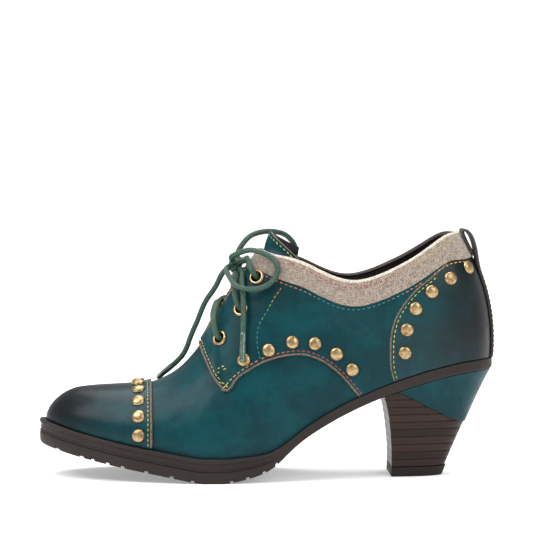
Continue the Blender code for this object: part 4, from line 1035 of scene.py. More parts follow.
class Nodes:
    """Short calls for building a material's nodes."""

    def __init__(self, name):
        self.material = bpy.data.materials.new(name)
        self.material.use_nodes = True
        self.tree = self.material.node_tree
        self.shader = self.tree.nodes["Principled BSDF"]
        self.place = self.add("TexCoord").outputs["Object"]

    def add(self, kind, inputs=None, **settings):
        """A shader node with settings and inputs, which may be values or other sockets."""
        node = self.tree.nodes.new("ShaderNode" + kind)
        for key, value in settings.items():
            setattr(node, key, value)
        for key, value in (inputs or {}).items():
            self.feed(node.inputs[key], value)
        return node

    def feed(self, socket, value):
        """A value or a link into a socket."""
        if isinstance(value, bpy.types.NodeSocket):
            self.tree.links.new(value, socket)
        else:
            socket.default_value = value

    def noise(self, scale, detail=4.0, place=None, roughness=0.55):
        """A noise pattern's value."""
        inputs = {"Vector": place or self.place, "Scale": scale, "Detail": detail}
        inputs["Roughness"] = roughness
        return self.add("TexNoise", inputs).outputs["Fac"]

    def math(self, operation, *values, clamp=False):
        """One step of arithmetic."""
        node = self.add("Math", operation=operation, use_clamp=clamp)
        for socket, value in zip(node.inputs, values):
            self.feed(socket, value)
        return node.outputs[0]

    def ramp(self, value, low, high, start=0.0, end=1.0):
        """A value stretched smoothly from one range to another."""
        inputs = {"Value": value, "From Min": low, "From Max": high, "To Min": start}
        inputs["To Max"] = end
        node = self.add("MapRange", inputs, interpolation_type="SMOOTHSTEP", clamp=True)
        return node.outputs[0]

    def mix(self, share, first, second):
        """A mixed colour."""
        node = self.add("Mix", data_type="RGBA")
        self.feed(node.inputs["Factor"], share)
        self.feed(node.inputs[6], first if not isinstance(first, tuple) else (*first, 1.0))
        self.feed(node.inputs[7], second if not isinstance(second, tuple) else (*second, 1.0))
        return node.outputs[2]

    def bump(self, height, distance, strength=1.0, under=None):
        """A bump of a height pattern, over another."""
        inputs = {"Height": height, "Distance": distance, "Strength": strength}
        node = self.add("Bump", inputs)
        if under is not None:
            self.feed(node.inputs["Normal"], under)
        return node.outputs[0]

    def shade(self, spots):
        """How dark the leather is made by a few soft round spots, seen from each place: burnish on
        the
            toe and heel, painted shade on the upper.
        """
        total = 0.0
        cloud = self.noise(70.0, 5.0)
        for x, y, z, radius, strength in spots:
            at = Vector((x * LENGTH, y * BALL_WIDTH, z * UPPER_RISE)) + SHIFT
            node = self.add("VectorMath", operation="DISTANCE")
            self.feed(node.inputs[0], self.place)
            node.inputs[1].default_value = at
            waver = self.math("MULTIPLY", cloud, radius * 0.5)
            far = self.math("ADD", node.outputs["Value"], waver)
            spot = self.ramp(far, radius * 0.55, radius * 1.5, strength, 0.0)
            total = self.math("MAXIMUM", total, spot)
        return total

    def set(self, **values):
        """The shader's own values, by input names with underscores."""
        for key, value in values.items():
            socket = self.shader.inputs[key.replace("_", " ")]
            if isinstance(value, tuple) and len(value) == 3:
                value = (*value, 1.0)
            self.feed(socket, value)
        return self.material


def rgb(colours, name):
    """A colour of the panel as a tuple."""
    return tuple(getattr(colours, name))


def leather(name, colours, shades=(), roughness=0.40, wax=0.05):
    """Burnished leather: clouded colour, soft dark places (burnish on the toe and heel, painted
    shade on the upper), fine grain with pores, a waxed coat.
    """
    n = Nodes(name)
    broad = n.noise(38.0, 5.0, roughness=0.6)
    fine = n.noise(230.0, 6.0, roughness=0.65)
    cloud = n.math("ADD", n.math("MULTIPLY", broad, 0.7), n.math("MULTIPLY", fine, 0.3))
    colour = n.mix(n.ramp(cloud, 0.40, 0.64), rgb(colours, "teal_deep"), rgb(colours, "teal"))
    dark = n.shade(shades) if shades else 0.0
    # Darkens towards the burnish colour: burnish on the toe and heel, painted shade on the upper
    if shades:
        colour = n.mix(dark, colour, rgb(colours, "burnish_and_shade"))
    cells = n.add("TexVoronoi", {"Vector": n.place, "Scale": 950.0}, feature="DISTANCE_TO_EDGE")
    grain = n.ramp(cells.outputs["Distance"], 0.0, 0.28)
    pores = n.noise(1500.0, 3.0)
    relief = n.bump(grain, 0.00006, 0.55)
    relief = n.bump(pores, 0.00004, 0.45, relief)
    relief = n.bump(n.noise(340.0, 4.0, roughness=0.6), 0.0004, 0.40, relief)
    relief = n.bump(broad, 0.0008, 0.30, relief)
    rough = n.ramp(n.noise(90.0, 5.0), 0.3, 0.7, roughness - 0.05, roughness + 0.09)
    return n.set(
        Base_Color=colour, Roughness=rough, Normal=relief, Specular_IOR_Level=0.11,
        Coat_Weight=wax, Coat_Roughness=0.20,
    )


def raw_edge(colours):
    """The cut edge of the leather, brown and fibrous."""
    n = Nodes("raw_edge")
    fibres = n.noise(1700.0, 4.0)
    colour = n.mix(n.ramp(fibres, 0.35, 0.65), (0.045, 0.024, 0.015), rgb(colours, "raw_edge"))
    return n.set(Base_Color=colour, Roughness=0.75, Normal=n.bump(fibres, 0.0001, 0.5))


def lining(colours):
    """The dark lining leather, matt with fine pores."""
    n = Nodes("lining")
    pores = n.noise(900.0, 4.0)
    shade = n.noise(60.0, 4.0)
    base = rgb(colours, "lining")
    colour = n.mix(n.ramp(shade, 0.35, 0.7), base, tuple(1.9 * c for c in base))
    return n.set(Base_Color=colour, Roughness=0.7, Normal=n.bump(pores, 0.00008, 0.5))


def linen(colours, sizes):
    """Linen: warp and weft threads with slubs, light and grey-brown ones mixed, darker between the
    threads as painted shade.
    """
    n = Nodes("linen")
    uv = n.add("UVMap", uv_map="surface").outputs["UV"]
    flat = n.add("SeparateXYZ", {"Vector": uv})
    waver = n.math("MULTIPLY", n.noise(160.0, 2.0, uv), sizes.weave * 0.9)
    u = n.math("ADD", flat.outputs[0], waver)
    v = n.math("ADD", flat.outputs[1], waver)
    turn = 2 * math.pi / sizes.weave
    warp = n.math("SINE", n.math("MULTIPLY", u, turn))
    weft = n.math("SINE", n.math("MULTIPLY", v, turn))
    weave = n.math("ADD", n.math("MULTIPLY", warp, weft), n.math("MULTIPLY", weft, 0.35))
    along = n.add("Mapping", {"Vector": uv, "Scale": (260.0, 2300.0, 1.0)}).outputs[0]
    across = n.add("Mapping", {"Vector": uv, "Scale": (2300.0, 260.0, 1.0)}).outputs[0]
    slub = n.math("ADD", n.noise(1.0, 2.0, along), n.noise(1.0, 2.0, across))
    # The weave term paints shade into the gaps between the threads; the slubs are the threads' own
    # tone
    tone = n.math("ADD", n.ramp(slub, 0.76, 1.20), n.math("MULTIPLY", weave, 0.26), clamp=True)
    colour = n.mix(tone, rgb(colours, "linen_dark"), rgb(colours, "linen"))
    relief = n.bump(weave, 0.00012, 0.8)
    relief = n.bump(slub, 0.00014, 0.5, relief)
    return n.set(
        Base_Color=colour, Roughness=0.92, Normal=relief, Specular_IOR_Level=0.25,
        Sheen_Weight=0.25, Sheen_Roughness=0.5,
    )


def frayed_linen():
    """The band's folded top edge, worn pale and fuzzy."""
    n = Nodes("frayed_linen")
    fuzz = n.noise(1100.0, 5.0, roughness=0.7)
    colour = n.mix(n.ramp(fuzz, 0.35, 0.62), (0.30, 0.25, 0.20), (0.62, 0.56, 0.48))
    return n.set(Base_Color=colour, Roughness=0.95, Normal=n.bump(fuzz, 0.0004, 0.8),
                 Specular_IOR_Level=0.2)


def rubber(name, colour, scale=700.0):
    """Moulded rubber, matt, with fine mottling and dust."""
    n = Nodes(name)
    speck = n.noise(scale, 5.0)
    patch = n.noise(45.0, 4.0)
    tone = n.mix(n.ramp(patch, 0.3, 0.7), tuple(0.82 * c for c in colour), colour)
    tone = n.mix(n.ramp(speck, 0.55, 0.8, 0.0, 0.35), tone, tuple(1.9 * c for c in colour))
    rough = n.ramp(speck, 0.3, 0.7, 0.52, 0.68)
    return n.set(Base_Color=tone, Roughness=rough, Normal=n.bump(speck, 0.00006, 0.5),
                 Specular_IOR_Level=0.2)


def stacked(colours, sizes):
    """The stacked heel: thin leather layers, each of its own tone, waxed to a gloss."""
    n = Nodes("stacked_heel")
    height = n.add("SeparateXYZ", {"Vector": n.place}).outputs[2]
    above = n.math("SUBTRACT", height, TIP_HEIGHT)
    layer = n.math("DIVIDE", above, sizes.layer_pitch)
    number = n.math("FLOOR", layer)
    within = n.math("FRACT", layer)
    own = n.add("TexWhiteNoise", {"W": number}, noise_dimensions="1D").outputs["Value"]
    stretch = n.add("Mapping", {"Vector": n.place, "Scale": (60.0, 60.0, 1500.0)}).outputs[0]
    streak = n.noise(1.0, 4.0, stretch)
    base, dark = rgb(colours, "stack"), rgb(colours, "stack_dark")
    tone = n.math("ADD", n.math("MULTIPLY", own, 0.32), n.math("MULTIPLY", streak, 0.7))
    colour = n.mix(n.ramp(tone, 0.15, 0.95), tuple(0.55 * c for c in base),
                   tuple(1.45 * c for c in base))
    joint = n.math("MINIMUM", within, n.math("SUBTRACT", 1.0, within))
    seam = n.ramp(joint, 0.03, 0.10, 0.85, 0.0)
    half = n.math("ABSOLUTE", n.math("SUBTRACT", within, 0.5))
    fine = n.ramp(half, 0.02, 0.07, 0.3, 0.0)
    colour = n.mix(n.math("MAXIMUM", seam, fine), colour, dark)
    relief = n.bump(n.ramp(joint, 0.0, 0.12), 0.00020, 0.7)
    relief = n.bump(streak, 0.00006, 0.4, relief)
    return n.set(
        Base_Color=colour, Roughness=0.42, Normal=relief, Specular_IOR_Level=0.15,
        Coat_Weight=0.04, Coat_Roughness=0.25,
    )


def brass(colours, name="brass", shine=0.26):
    """Antique brass: bright, with dull brown patches."""
    n = Nodes(name)
    patch = n.noise(420.0, 5.0)
    base = rgb(colours, "brass")
    dull = tuple(c * k for c, k in zip(base, (0.42, 0.36, 0.30)))
    colour = n.mix(n.ramp(patch, 0.42, 0.72), base, dull)
    rough = n.ramp(patch, 0.35, 0.7, shine, shine + 0.2)
    relief = n.bump(n.noise(1300.0, 3.0), 0.00005, 0.35)
    return n.set(Base_Color=colour, Roughness=rough, Metallic=1.0, Normal=relief)


def waxed_cord(colours):
    """The braided, waxed lace: a crossing weave that follows the cord, darker in the braid's
    grooves as painted shade and lighter on the strand tops as painted highlight, with random worn
    tone.
    """
    n = Nodes("green_cord")
    uv = n.add("UVMap", uv_map="surface").outputs["UV"]
    flat = n.add("SeparateXYZ", {"Vector": uv})
    around = n.math("MULTIPLY", flat.outputs[0], 2 * math.pi * 4)
    along = n.math("MULTIPLY", flat.outputs[1], 2 * math.pi / 0.0022)
    one = n.math("SINE", n.math("ADD", around, along))
    two = n.math("SINE", n.math("SUBTRACT", around, along))
    braid = n.math("MAXIMUM", one, two)
    # The braid term paints shade into the grooves and a highlight onto the strand tops; the noise
    # adds random worn tone
    tone = n.math("ADD", n.math("MULTIPLY", braid, 0.35), n.noise(500.0, 4.0))
    base = rgb(colours, "lace")
    dark, worn = (tuple(share * c for c in base) for share in (0.45, 2.1))
    colour = n.mix(n.ramp(tone, 0.25, 1.0), dark, worn)
    relief = n.bump(braid, 0.00022, 0.8)
    return n.set(Base_Color=colour, Roughness=0.55, Normal=relief, Coat_Weight=0.15,
                 Coat_Roughness=0.35)


def clear_plastic():
    """The aglet's clear film, with the lace's green showing through."""
    n = Nodes("clear_plastic")
    speck = n.noise(500.0, 3.0)
    colour = n.mix(n.ramp(speck, 0.3, 0.7), (0.020, 0.048, 0.034), (0.060, 0.105, 0.080))
    return n.set(Base_Color=colour, Roughness=0.10, Coat_Weight=1.0, Coat_Roughness=0.04)


def thread():
    """Sewing thread, coloured by each stitch's own colour."""
    n = Nodes("thread")
    colour = n.add("Attribute", attribute_name="thread").outputs["Color"]
    twist = n.noise(2600.0, 3.0)
    shade = n.mix(n.ramp(twist, 0.3, 0.7, 0.35, 0.0), colour, (0.02, 0.02, 0.015))
    return n.set(Base_Color=shade, Roughness=0.55, Normal=n.bump(twist, 0.00006, 0.6))


FINISHES = {}


def finish(name):
    """A finish of the shoe, made when it is first asked for."""
    if name not in FINISHES:
        colours = bpy.context.scene.shoe_colours
        sizes = bpy.context.scene.shoe_sizes
        makers = {
            # The upper's leather carries the painted shade spots
            "upper_leather": lambda: leather("teal_leather", colours, UPPER_SHADES),
            "cap_leather": lambda: leather("toe_leather", colours, TOE_SHADES, 0.36, 0.10),
            "counter_leather": lambda: leather("heel_leather", colours, HEEL_SHADES, 0.36, 0.20),
            "raw_edge": lambda: raw_edge(colours),
            "lining": lambda: lining(colours),
            "linen": lambda: linen(colours, sizes),
            "frayed_linen": frayed_linen,
            "rubber": lambda: rubber("brown_rubber", rgb(colours, "rubber")),
            "tip": lambda: rubber("tip_rubber", rgb(colours, "tip"), 500.0),
            "stack": lambda: stacked(colours, sizes),
            "brass": lambda: brass(colours),
            "eyelet_brass": lambda: brass(colours, "eyelet_brass", 0.20),
            "cord": lambda: waxed_cord(colours),
            "clear": clear_plastic,
            "thread": thread,
        }
        FINISHES[name] = makers[name]()
    return FINISHES[name]


def setting_tree():
    """Sets a small shape at every point of a piece, turned by the point's own directions."""
    known = bpy.data.node_groups.get("set_on_points")
    if known:
        return known
    tree = bpy.data.node_groups.new("set_on_points", "GeometryNodeTree")
    face = tree.interface
    face.new_socket("Geometry", in_out="INPUT", socket_type="NodeSocketGeometry")
    face.new_socket("Shape", in_out="INPUT", socket_type="NodeSocketObject")
    face.new_socket("Size", in_out="INPUT", socket_type="NodeSocketFloat")
    face.new_socket("Variation", in_out="INPUT", socket_type="NodeSocketFloat")
    face.new_socket("Seed", in_out="INPUT", socket_type="NodeSocketInt")
    face.new_socket("Finish", in_out="INPUT", socket_type="NodeSocketMaterial")
    face.new_socket("Geometry", in_out="OUTPUT", socket_type="NodeSocketGeometry")

    def node(kind, **settings):
        made = tree.nodes.new(kind)
        for key, value in settings.items():
            setattr(made, key, value)
        return made

    given = node("NodeGroupInput").outputs
    result = node("NodeGroupOutput")
    shape = node("GeometryNodeObjectInfo", transform_space="ORIGINAL")
    along = node("GeometryNodeInputNamedAttribute", data_type="FLOAT_VECTOR")
    along.inputs["Name"].default_value = "along"
    outward = node("GeometryNodeInputNamedAttribute", data_type="FLOAT_VECTOR")
    outward.inputs["Name"].default_value = "outward"
    turn = node("FunctionNodeAxesToRotation", primary_axis="Z", secondary_axis="X")
    least = node("ShaderNodeMath", operation="SUBTRACT")
    least.inputs[0].default_value = 1.0
    most = node("ShaderNodeMath", operation="ADD")
    most.inputs[0].default_value = 1.0
    random = node("FunctionNodeRandomValue", data_type="FLOAT")
    size = node("ShaderNodeMath", operation="MULTIPLY")
    setting = node("GeometryNodeInstanceOnPoints")
    real = node("GeometryNodeRealizeInstances")
    paint = node("GeometryNodeSetMaterial")
    joins = (
        (given["Shape"], shape.inputs["Object"]),
        (given["Geometry"], setting.inputs["Points"]),
        (shape.outputs["Geometry"], setting.inputs["Instance"]),
        (outward.outputs[0], turn.inputs["Primary Axis"]),
        (along.outputs[0], turn.inputs["Secondary Axis"]),
        (turn.outputs[0], setting.inputs["Rotation"]),
        (given["Variation"], least.inputs[1]),
        (given["Variation"], most.inputs[1]),
        (least.outputs[0], random.inputs[2]),
        (most.outputs[0], random.inputs[3]),
        (given["Seed"], random.inputs["Seed"]),
        (random.outputs[1], size.inputs[0]),
        (given["Size"], size.inputs[1]),
        (size.outputs[0], setting.inputs["Scale"]),
        (setting.outputs[0], real.inputs[0]),
        (real.outputs[0], paint.inputs["Geometry"]),
        (given["Finish"], paint.inputs["Material"]),
        (paint.outputs[0], result.inputs[0]),
    )
    for first, second in joins:
        tree.links.new(first, second)
    return tree


def set_on_points(name, points, along, outward, shape, look, colours=None, variation=0.0):
    """One mesh of a small shape set at every point. The shape object is used up."""
    mesh = bpy.data.meshes.new(name)
    mesh.from_pydata(np.asarray(points, float).tolist(), [], [])
    for key, values in (("along", along), ("outward", outward)):
        data = mesh.attributes.new(key, "FLOAT_VECTOR", "POINT").data
        data.foreach_set("vector", np.asarray(values, np.float32).ravel())
    if colours is not None:
        data = mesh.attributes.new("thread", "FLOAT_COLOR", "POINT").data
        full = [(*colour, 1.0) for colour in colours]
        data.foreach_set("color", np.asarray(full, np.float32).ravel())
    made = link(bpy.data.objects.new(name, mesh))
    tree = setting_tree()
    step = made.modifiers.new("set_on_points", "NODES")
    step.node_group = tree
    sockets = {s.name: s.identifier for s in tree.interface.items_tree if s.in_out == "INPUT"}
    values = {
        "Shape": shape,
        "Size": 1.0,
        "Variation": variation,
        "Seed": bpy.context.scene.shoe_sizes.seed,
        "Finish": finish(look),
    }
    for key, value in values.items():
        step[sockets[key]] = value
    evaluated(made)
    bpy.data.objects.remove(shape)
    return made


def turned_shape(name, profile, segments):
    """A turned shape round Z at the origin, from a profile of radius and height."""
    profile = np.array(profile, float)
    angles = np.arange(segments) * 2 * math.pi / segments
    x = profile[None, :, 0] * np.cos(angles)[:, None]
    y = profile[None, :, 0] * np.sin(angles)[:, None]
    vertices = xyz(x, y, profile[None, :, 1])
    count = len(profile)
    faces = []
    for i in range(segments):
        a, b = i * count, ((i + 1) % segments) * count
        faces += [[a + j, b + j, b + (j + 1) % count, a + (j + 1) % count] for j in range(count)]
    made = mesh_piece(name, vertices, faces, [])
    made.hide_render = True
    return smooth_shading(made, 50)


def read_off(places, keys, rows):
    """Rows of three values, read off between their keys."""
    return np.stack([np.interp(places, keys, rows[:, i]) for i in range(3)], -1)


def even_points(line, pitch):
    """Points at an even pitch along a line, and the directions there."""
    line = np.asarray(line, float)
    keys = np.concatenate([[0.0], np.cumsum(np.linalg.norm(np.diff(line, axis=0), axis=1))])
    count = max(1, int(round(keys[-1] / pitch)))
    places = (np.arange(count) + 0.5) * keys[-1] / count
    reach = 4e-4
    ways = read_off(places + reach, keys, line) - read_off(places - reach, keys, line)
    return read_off(places, keys, line), unit(ways), places / keys[-1]


def thread_colours(shares, names):
    """The thread's colour at shares along a row that runs through named colours."""
    table = np.array([THREADS[name] for name in names]) * THREAD_TONE
    keys = np.linspace(0, 1, len(names))
    return read_off(shares, keys, table)


def curve_points(rows):
    """A smooth line through points, in even steps of a third of a cord width."""
    rows = np.asarray(rows, float)
    keys = np.concatenate([[0.0], np.cumsum(np.linalg.norm(np.diff(rows, axis=0), axis=1))])
    count = max(8, int(round(keys[-1] / (LACE_DIAMETER / 3))))
    places = np.linspace(0, keys[-1], count + 1)
    return np.stack([spline(keys, rows[:, i])(places) for i in range(3)], -1)


def cord_mesh(line, radius, sides=CORD_SIDES):
    """Vertices, faces and UV of a round cord with rounded ends, closed."""
    line = np.asarray(line, float)
    count = len(line)
    ways = unit(np.gradient(line, axis=0))
    side = unit(np.cross(ways[0], (0.31, 0.52, 0.79)))
    keys = arc_lengths(line, 0)
    ends = np.clip(np.minimum(keys, keys[-1] - keys) / (0.6 * radius), 0, 1)
    widths = radius * np.sqrt(1 - (1 - ends) ** 2 * 0.75)
    angles = np.arange(sides) * 2 * math.pi / sides
    vertices, uv = [], []
    for i in range(count):
        side = unit(side - ways[i] * np.dot(side, ways[i]))
        other = np.cross(ways[i], side)
        ring = np.cos(angles)[:, None] * side + np.sin(angles)[:, None] * other
        vertices.append(line[i] + ring * widths[i])
        uv.append(np.stack([np.abs(2 * np.arange(sides) / sides - 1), np.full(sides, keys[i])], -1))
    faces = []
    for i in range(count - 1):
        for j in range(sides):
            k = (j + 1) % sides
            a, b = i * sides, (i + 1) * sides
            faces.append([a + j, a + k, b + k, b + j])
    faces.append(list(range(sides)))
    faces.append(list(range((count - 1) * sides, count * sides)))
    return np.concatenate(vertices), faces, np.concatenate(uv)


def cord_piece(name, lines, radius, look="cord", sides=CORD_SIDES):
    """One mesh of one or more cords."""
    vertices, faces, uv = [], [], []
    start = 0
    for line in lines:
        v, f, t = cord_mesh(line, radius, sides)
        vertices.append(v)
        uv.append(t)
        faces += [[start + i for i in face] for face in f]
        start += len(v)
    made = mesh_piece(name, np.concatenate(vertices), faces, [finish(look)], np.concatenate(uv))
    return smooth_shading(made, 60)


def share_line(rows):
    """Points in space of a table of shares."""
    return np.array(rows, float) * (LENGTH, BALL_WIDTH, UPPER_RISE)


def lace_over_facing(side, number, turn_end):
    """Points of a lace out of an eyelet's hole, over its rim and up to the edge of its facing."""
    turn, level = place_on_side(side, *EYELETS[number - 1])
    centre, normal = last_point(side, turn, level), last_normal(side, turn, level)
    place = turn + (turn_end - turn) * 0.30, level + (1 - level) * 0.66
    edge = last_offset(side, *place, LACE_DIAMETER * 1.48)
    way = edge - centre
    way = unit(way - normal * np.dot(way, normal))
    places = ((0.0, -0.55), (0.0, 0.17), (0.14, 1.05), (0.77, 1.60))
    points = [centre + (way * along + normal * out) * LACE_DIAMETER for along, out in places]
    return points + [edge]


def throat_middle(turn, out):
    """A point over the middle of the throat, at a distance from the last surface."""
    return (last_offset(-1, turn, 1.0, out) + last_offset(1, turn, 1.0, out)) / 2


def crossing_line(side, number, out):
    """A lace out of one eyelet, over the throat and down beside the edge of the other facing."""
    first, _ = place_on_side(side, *EYELETS[number - 1])
    last, _ = place_on_side(-side, *EYELETS[number])
    points = lace_over_facing(side, number, last)
    places = [first + (last - first) * share for share in (0.44, 0.57, 0.68)]
    points.append(last_offset(side, places[0], 1.0, LACE_DIAMETER * 1.15))
    points.append(throat_middle(places[1], out))
    edge = last_offset(-side, places[2], 1.0, LACE_DIAMETER * 0.30)
    low = throat_middle(places[2], LACE_DIAMETER * 0.30)
    points.append((low + edge) / 2)
    return np.array(points)


def knot_lines(centre):
    """The knot's turns: one interlaced closed strand, and a wrap round the bow's middle."""
    slope = ridge_way(0.112)
    upright = np.array((-slope[2], 0.0, slope[0]))
    across = np.array((0.0, 1.0, 0.0))
    t = np.linspace(0, 2 * math.pi, 61)
    a = (np.sin(t) + 2 * np.sin(2 * t)) / 3
    b = (np.cos(t) - 2 * np.cos(2 * t)) / 3
    c = -np.sin(3 * t)
    size = LACE_DIAMETER
    strand = centre + np.outer(a, across) * 1.0 * size + np.outer(b, slope) * 0.95 * size
    strand = strand + np.outer(c, upright) * 0.42 * size
    wrap = centre + np.outer(np.cos(t), upright) * 0.75 * size
    wrap = wrap + np.outer(np.sin(t), slope * 0.95 + across * 0.3) * size
    return [strand, wrap]


def make_laces():
    """The crossings, the knot with its arms, the two loops of the bow and the two ends."""
    radius = LACE_DIAMETER / 2
    for number, word in ((1, "lower"), (2, "upper")):
        lines = [
            curve_points(crossing_line(-1, number, LACE_DIAMETER * 0.95)),
            curve_points(crossing_line(1, number, LACE_DIAMETER * 0.40)),
        ]
        made = cord_piece(f"lacing_{word}", lines, radius)
        finished(made, "green_cord", f"lace_cross_{word}")
    centre = share_line([KNOT_PLACE])[0]
    arms = []
    for side in (-1, 1):
        points = lace_over_facing(side, 3, TOP_TURN - 0.012)
        points.append(last_offset(side, TOP_TURN - 0.016, 1.0, LACE_DIAMETER * 1.25))
        points.append(centre + np.array((0, side * LACE_DIAMETER * 0.5, 0)))
        arms.append(curve_points(points))
    finished(cord_piece("bow_knot", arms + knot_lines(centre), radius), "green_cord", "lace_knot")
    routes = (
        ("bow_loop_lateral", LOOP_LATERAL, "object", "lace_loop_lateral"),
        ("bow_loop_medial", LOOP_MEDIAL, "object", "lace_loop_medial"),
        ("lace_tail_lateral", END_LATERAL, "fitting", "lace_end_lateral"),
        ("lace_tail_medial", END_MEDIAL, "fitting", "lace_end_medial"),
    )
    for name, rows, far_end, node in routes:
        points = share_line(rows)
        rooted = [points[0] + (centre - points[0]) * 0.45, *points]
        if far_end == "object":
            rooted.append(points[-1] + (centre - points[-1]) * 0.45)
        line = curve_points(rooted)
        made = cord_piece(name, [line], radius)
        finished(made, "green_cord", node)
        tips = []
        if far_end == "fitting":
            keys = arc_lengths(line, 0)
            last = line[keys > keys[-1] - AGLET_LENGTH]
            tip = cord_piece(name.replace("tail", "aglet"), [last], radius * 1.10, "clear")
            tips = [finished(tip, "green_cord")]


def punch(target, side):
    """Cuts one side's lace holes through a piece, and leaves their walls dark."""
    for place in EYELETS:
        turn, level = place_on_side(side, *place)
        centre, normal = last_point(side, turn, level), Vector(last_normal(side, turn, level))
        radius = EYELET_BARREL + GAP
        profile = [(1e-5, -0.008), (radius, -0.008), (radius, 0.008), (1e-5, 0.008)]
        tool = turned_shape("punch", profile, 24)
        tool.data.materials.append(finish("lining"))
        turn_round = normal.to_track_quat("Z", "X").to_matrix().to_4x4()
        tool.data.transform(Matrix.Translation(Vector(centre)) @ turn_round)
        cut(target, tool, "DIFFERENCE")
    return target


def make_upper():
    """The lasted shell: the vamp outside, the lining inside, turned in under the insole."""
    turns = turns_between(0.0, 1.0)
    levels = np.linspace(0, 1, RISERS + 1)
    vertices, faces, looks = [], [], []
    start = 0
    for side in (-1, 1):
        margin, _ = feather_point(side, turns, LASTING_MARGIN)
        corner, _ = feather_point(side, turns, UPPER_WALL)
        lift = np.array((0, 0, UPPER_WALL))
        outside = surface(side, turns[:, None], levels[None, :], 0.0)
        inside = surface(side, turns[:, None], levels[None, :0:-1], -UPPER_WALL)
        turned_in = (corner + lift)[:, None], (margin + lift)[:, None]
        section = np.concatenate((margin[:, None], outside, inside, *turned_in), axis=1)
        size = section.shape[1]
        vertices.append(section.reshape(-1, 3))
        for i in range(len(turns) - 1):
            ridge = turns[i + 1] <= THROAT_TURN + 1e-9
            a, b = start + i * size, start + (i + 1) * size
            for j in range(size):
                if ridge and j == RISERS + 1:
                    continue
                k = (j + 1) % size
                faces.append([a + j, b + j, b + k, a + k])
                looks.append(0 if j <= RISERS else 1)
        start += len(turns) * size
    looks_used = [finish("upper_leather"), finish("lining")]
    made = mesh_piece("vamp_and_lining", np.concatenate(vertices), faces, looks_used,
                      finish_of=looks)
    for side in (-1, 1):
        punch(made, side)
    finished(smooth_shading(made), "teal_leather", "upper")


def make_toe_cap():
    """The toe cap, cut at its straight rear edge."""
    cap = slab("cap", (-1, 1), turns_between(0.0, 0.42), OVER, GAP, finish("cap_leather"))
    edge = LENGTH * CAP_EDGE
    outline = [(-0.02, -0.02), (edge, -0.02), (edge, 0.12), (-0.02, 0.12)]
    cut(cap, prism("limit", outline, -0.08, 0.08, finish("raw_edge")), "INTERSECT")
    finished(smooth_shading(cap), "teal_dark", "toe_cap")


def make_quarters():
    """The two quarters, whose front flaps carry the eyelets."""
    line = band_line(GAP)
    edge = side_curve(QUARTER_EDGE, 8)
    counter_line = shifted(side_curve(COUNTER_EDGE, 8), GAP)
    outline = edge + counter_line + [p for p in reversed(line) if p[0] < counter_line[-1][0]]
    for side, word in ((-1, "lateral"), (1, "medial")):
        look = finish("upper_leather")
        piece = slab(f"flap_{word}", (side,), turns_between(0.34, 0.94), OVER, GAP, look)
        reach = sorted((side * FLAP_SPLIT, side * 0.08))
        cut(piece, prism("limit", outline, *reach, finish("raw_edge")), "INTERSECT")
        punch(piece, side)
        finished(smooth_shading(piece), "teal_leather", f"quarter_{word}")


def make_counter():
    """The heel counter, in one piece round the back."""
    turns = turns_between(0.6, 1.0)
    piece = slab("heel_counter", (-1, 1), turns, OVER, GAP, finish("counter_leather"))
    edge = side_curve(COUNTER_EDGE, 8)
    line = [p for p in band_line(GAP) if p[0] > edge[-1][0]]
    outline = edge + line + [(LENGTH + 0.03, line[-1][1]), (LENGTH + 0.03, edge[0][1])]
    cut(piece, prism("limit", outline, -0.08, 0.08, finish("raw_edge")), "INTERSECT")
    finished(smooth_shading(piece), "teal_dark", "counter")


def make_collar_band():
    """The linen band round the collar, folded over its top edge."""
    turns = turns_between(THROAT_TURN + 0.01, 1.0)
    look = finish("linen")
    band = slab("linen_band", (-1, 1), turns, OVER, GAP, look, 3 / 7, UPPER_WALL, finish("lining"))
    line = band_line(0.0)
    outline = line + [(line[-1][0], 0.20), (line[0][0], 0.20)]
    cut(band, prism("limit", outline, -0.08, 0.08, finish("linen")), "INTERSECT")
    finished(smooth_shading(band), "linen", "collar_band")


def make_raw_edges():
    """The cut edges of the cap, the quarters and the counter, as thin fibrous strips."""
    out = GAP + OVERLAY / 2 + 0.0001
    band = np.array(band_line(0.0))
    lines = [np.array([surface(*place, out) for place in cap_line(LENGTH * CAP_EDGE)])]
    for side in (-1, 1):
        for rows in (QUARTER_EDGE, COUNTER_EDGE):
            line = np.array(side_curve(rows, 12))
            line = line[line[:, 1] < np.interp(line[:, 0], band[:, 0], band[:, 1])]
            turn, level = on_side(side, line)
            lines.append(surface(side, turn, level, out))
        facing = np.linspace(THROAT_TURN + 0.003, TOP_TURN - 0.004, 60)
        lines.append(surface(side, facing, 1.0, out))
    made = cord_piece("raw_edges", lines, RAW_EDGE, "raw_edge", 8)
    finished(made, "teal_leather")


def grid_solid(name, front, back, looks, edge_look=None):
    """A solid sheet between two grids of points of the same size. Its rim may differ in look."""
    front, back = np.asarray(front, float), np.asarray(back, float)
    rows, columns = front.shape[:2]
    count = rows * columns
    faces, index = [], []
    for i in range(rows - 1):
        for j in range(columns - 1):
            a = i * columns + j
            faces.append([a, a + 1, a + columns + 1, a + columns])
            faces.append([count + k for k in (a, a + columns, a + columns + 1, a + 1)])
            index += [0, 1 if len(looks) > 1 else 0]
    rim = [(i, 0) for i in range(rows)] + [(rows - 1, j) for j in range(1, columns)]
    rim += [(i, columns - 1) for i in range(rows - 2, -1, -1)]
    rim += [(0, j) for j in range(columns - 2, 0, -1)]
    corners = [i * columns + j for i, j in rim]
    for a, b in zip(corners, corners[1:] + corners[:1]):
        faces.append([a, b, count + b, count + a])
        index.append(len(looks) if edge_look else 0)
    used = list(looks) + ([edge_look] if edge_look else [])
    vertices = np.concatenate([front.reshape(-1, 3), back.reshape(-1, 3)])
    return mesh_piece(name, vertices, faces, used, finish_of=index)


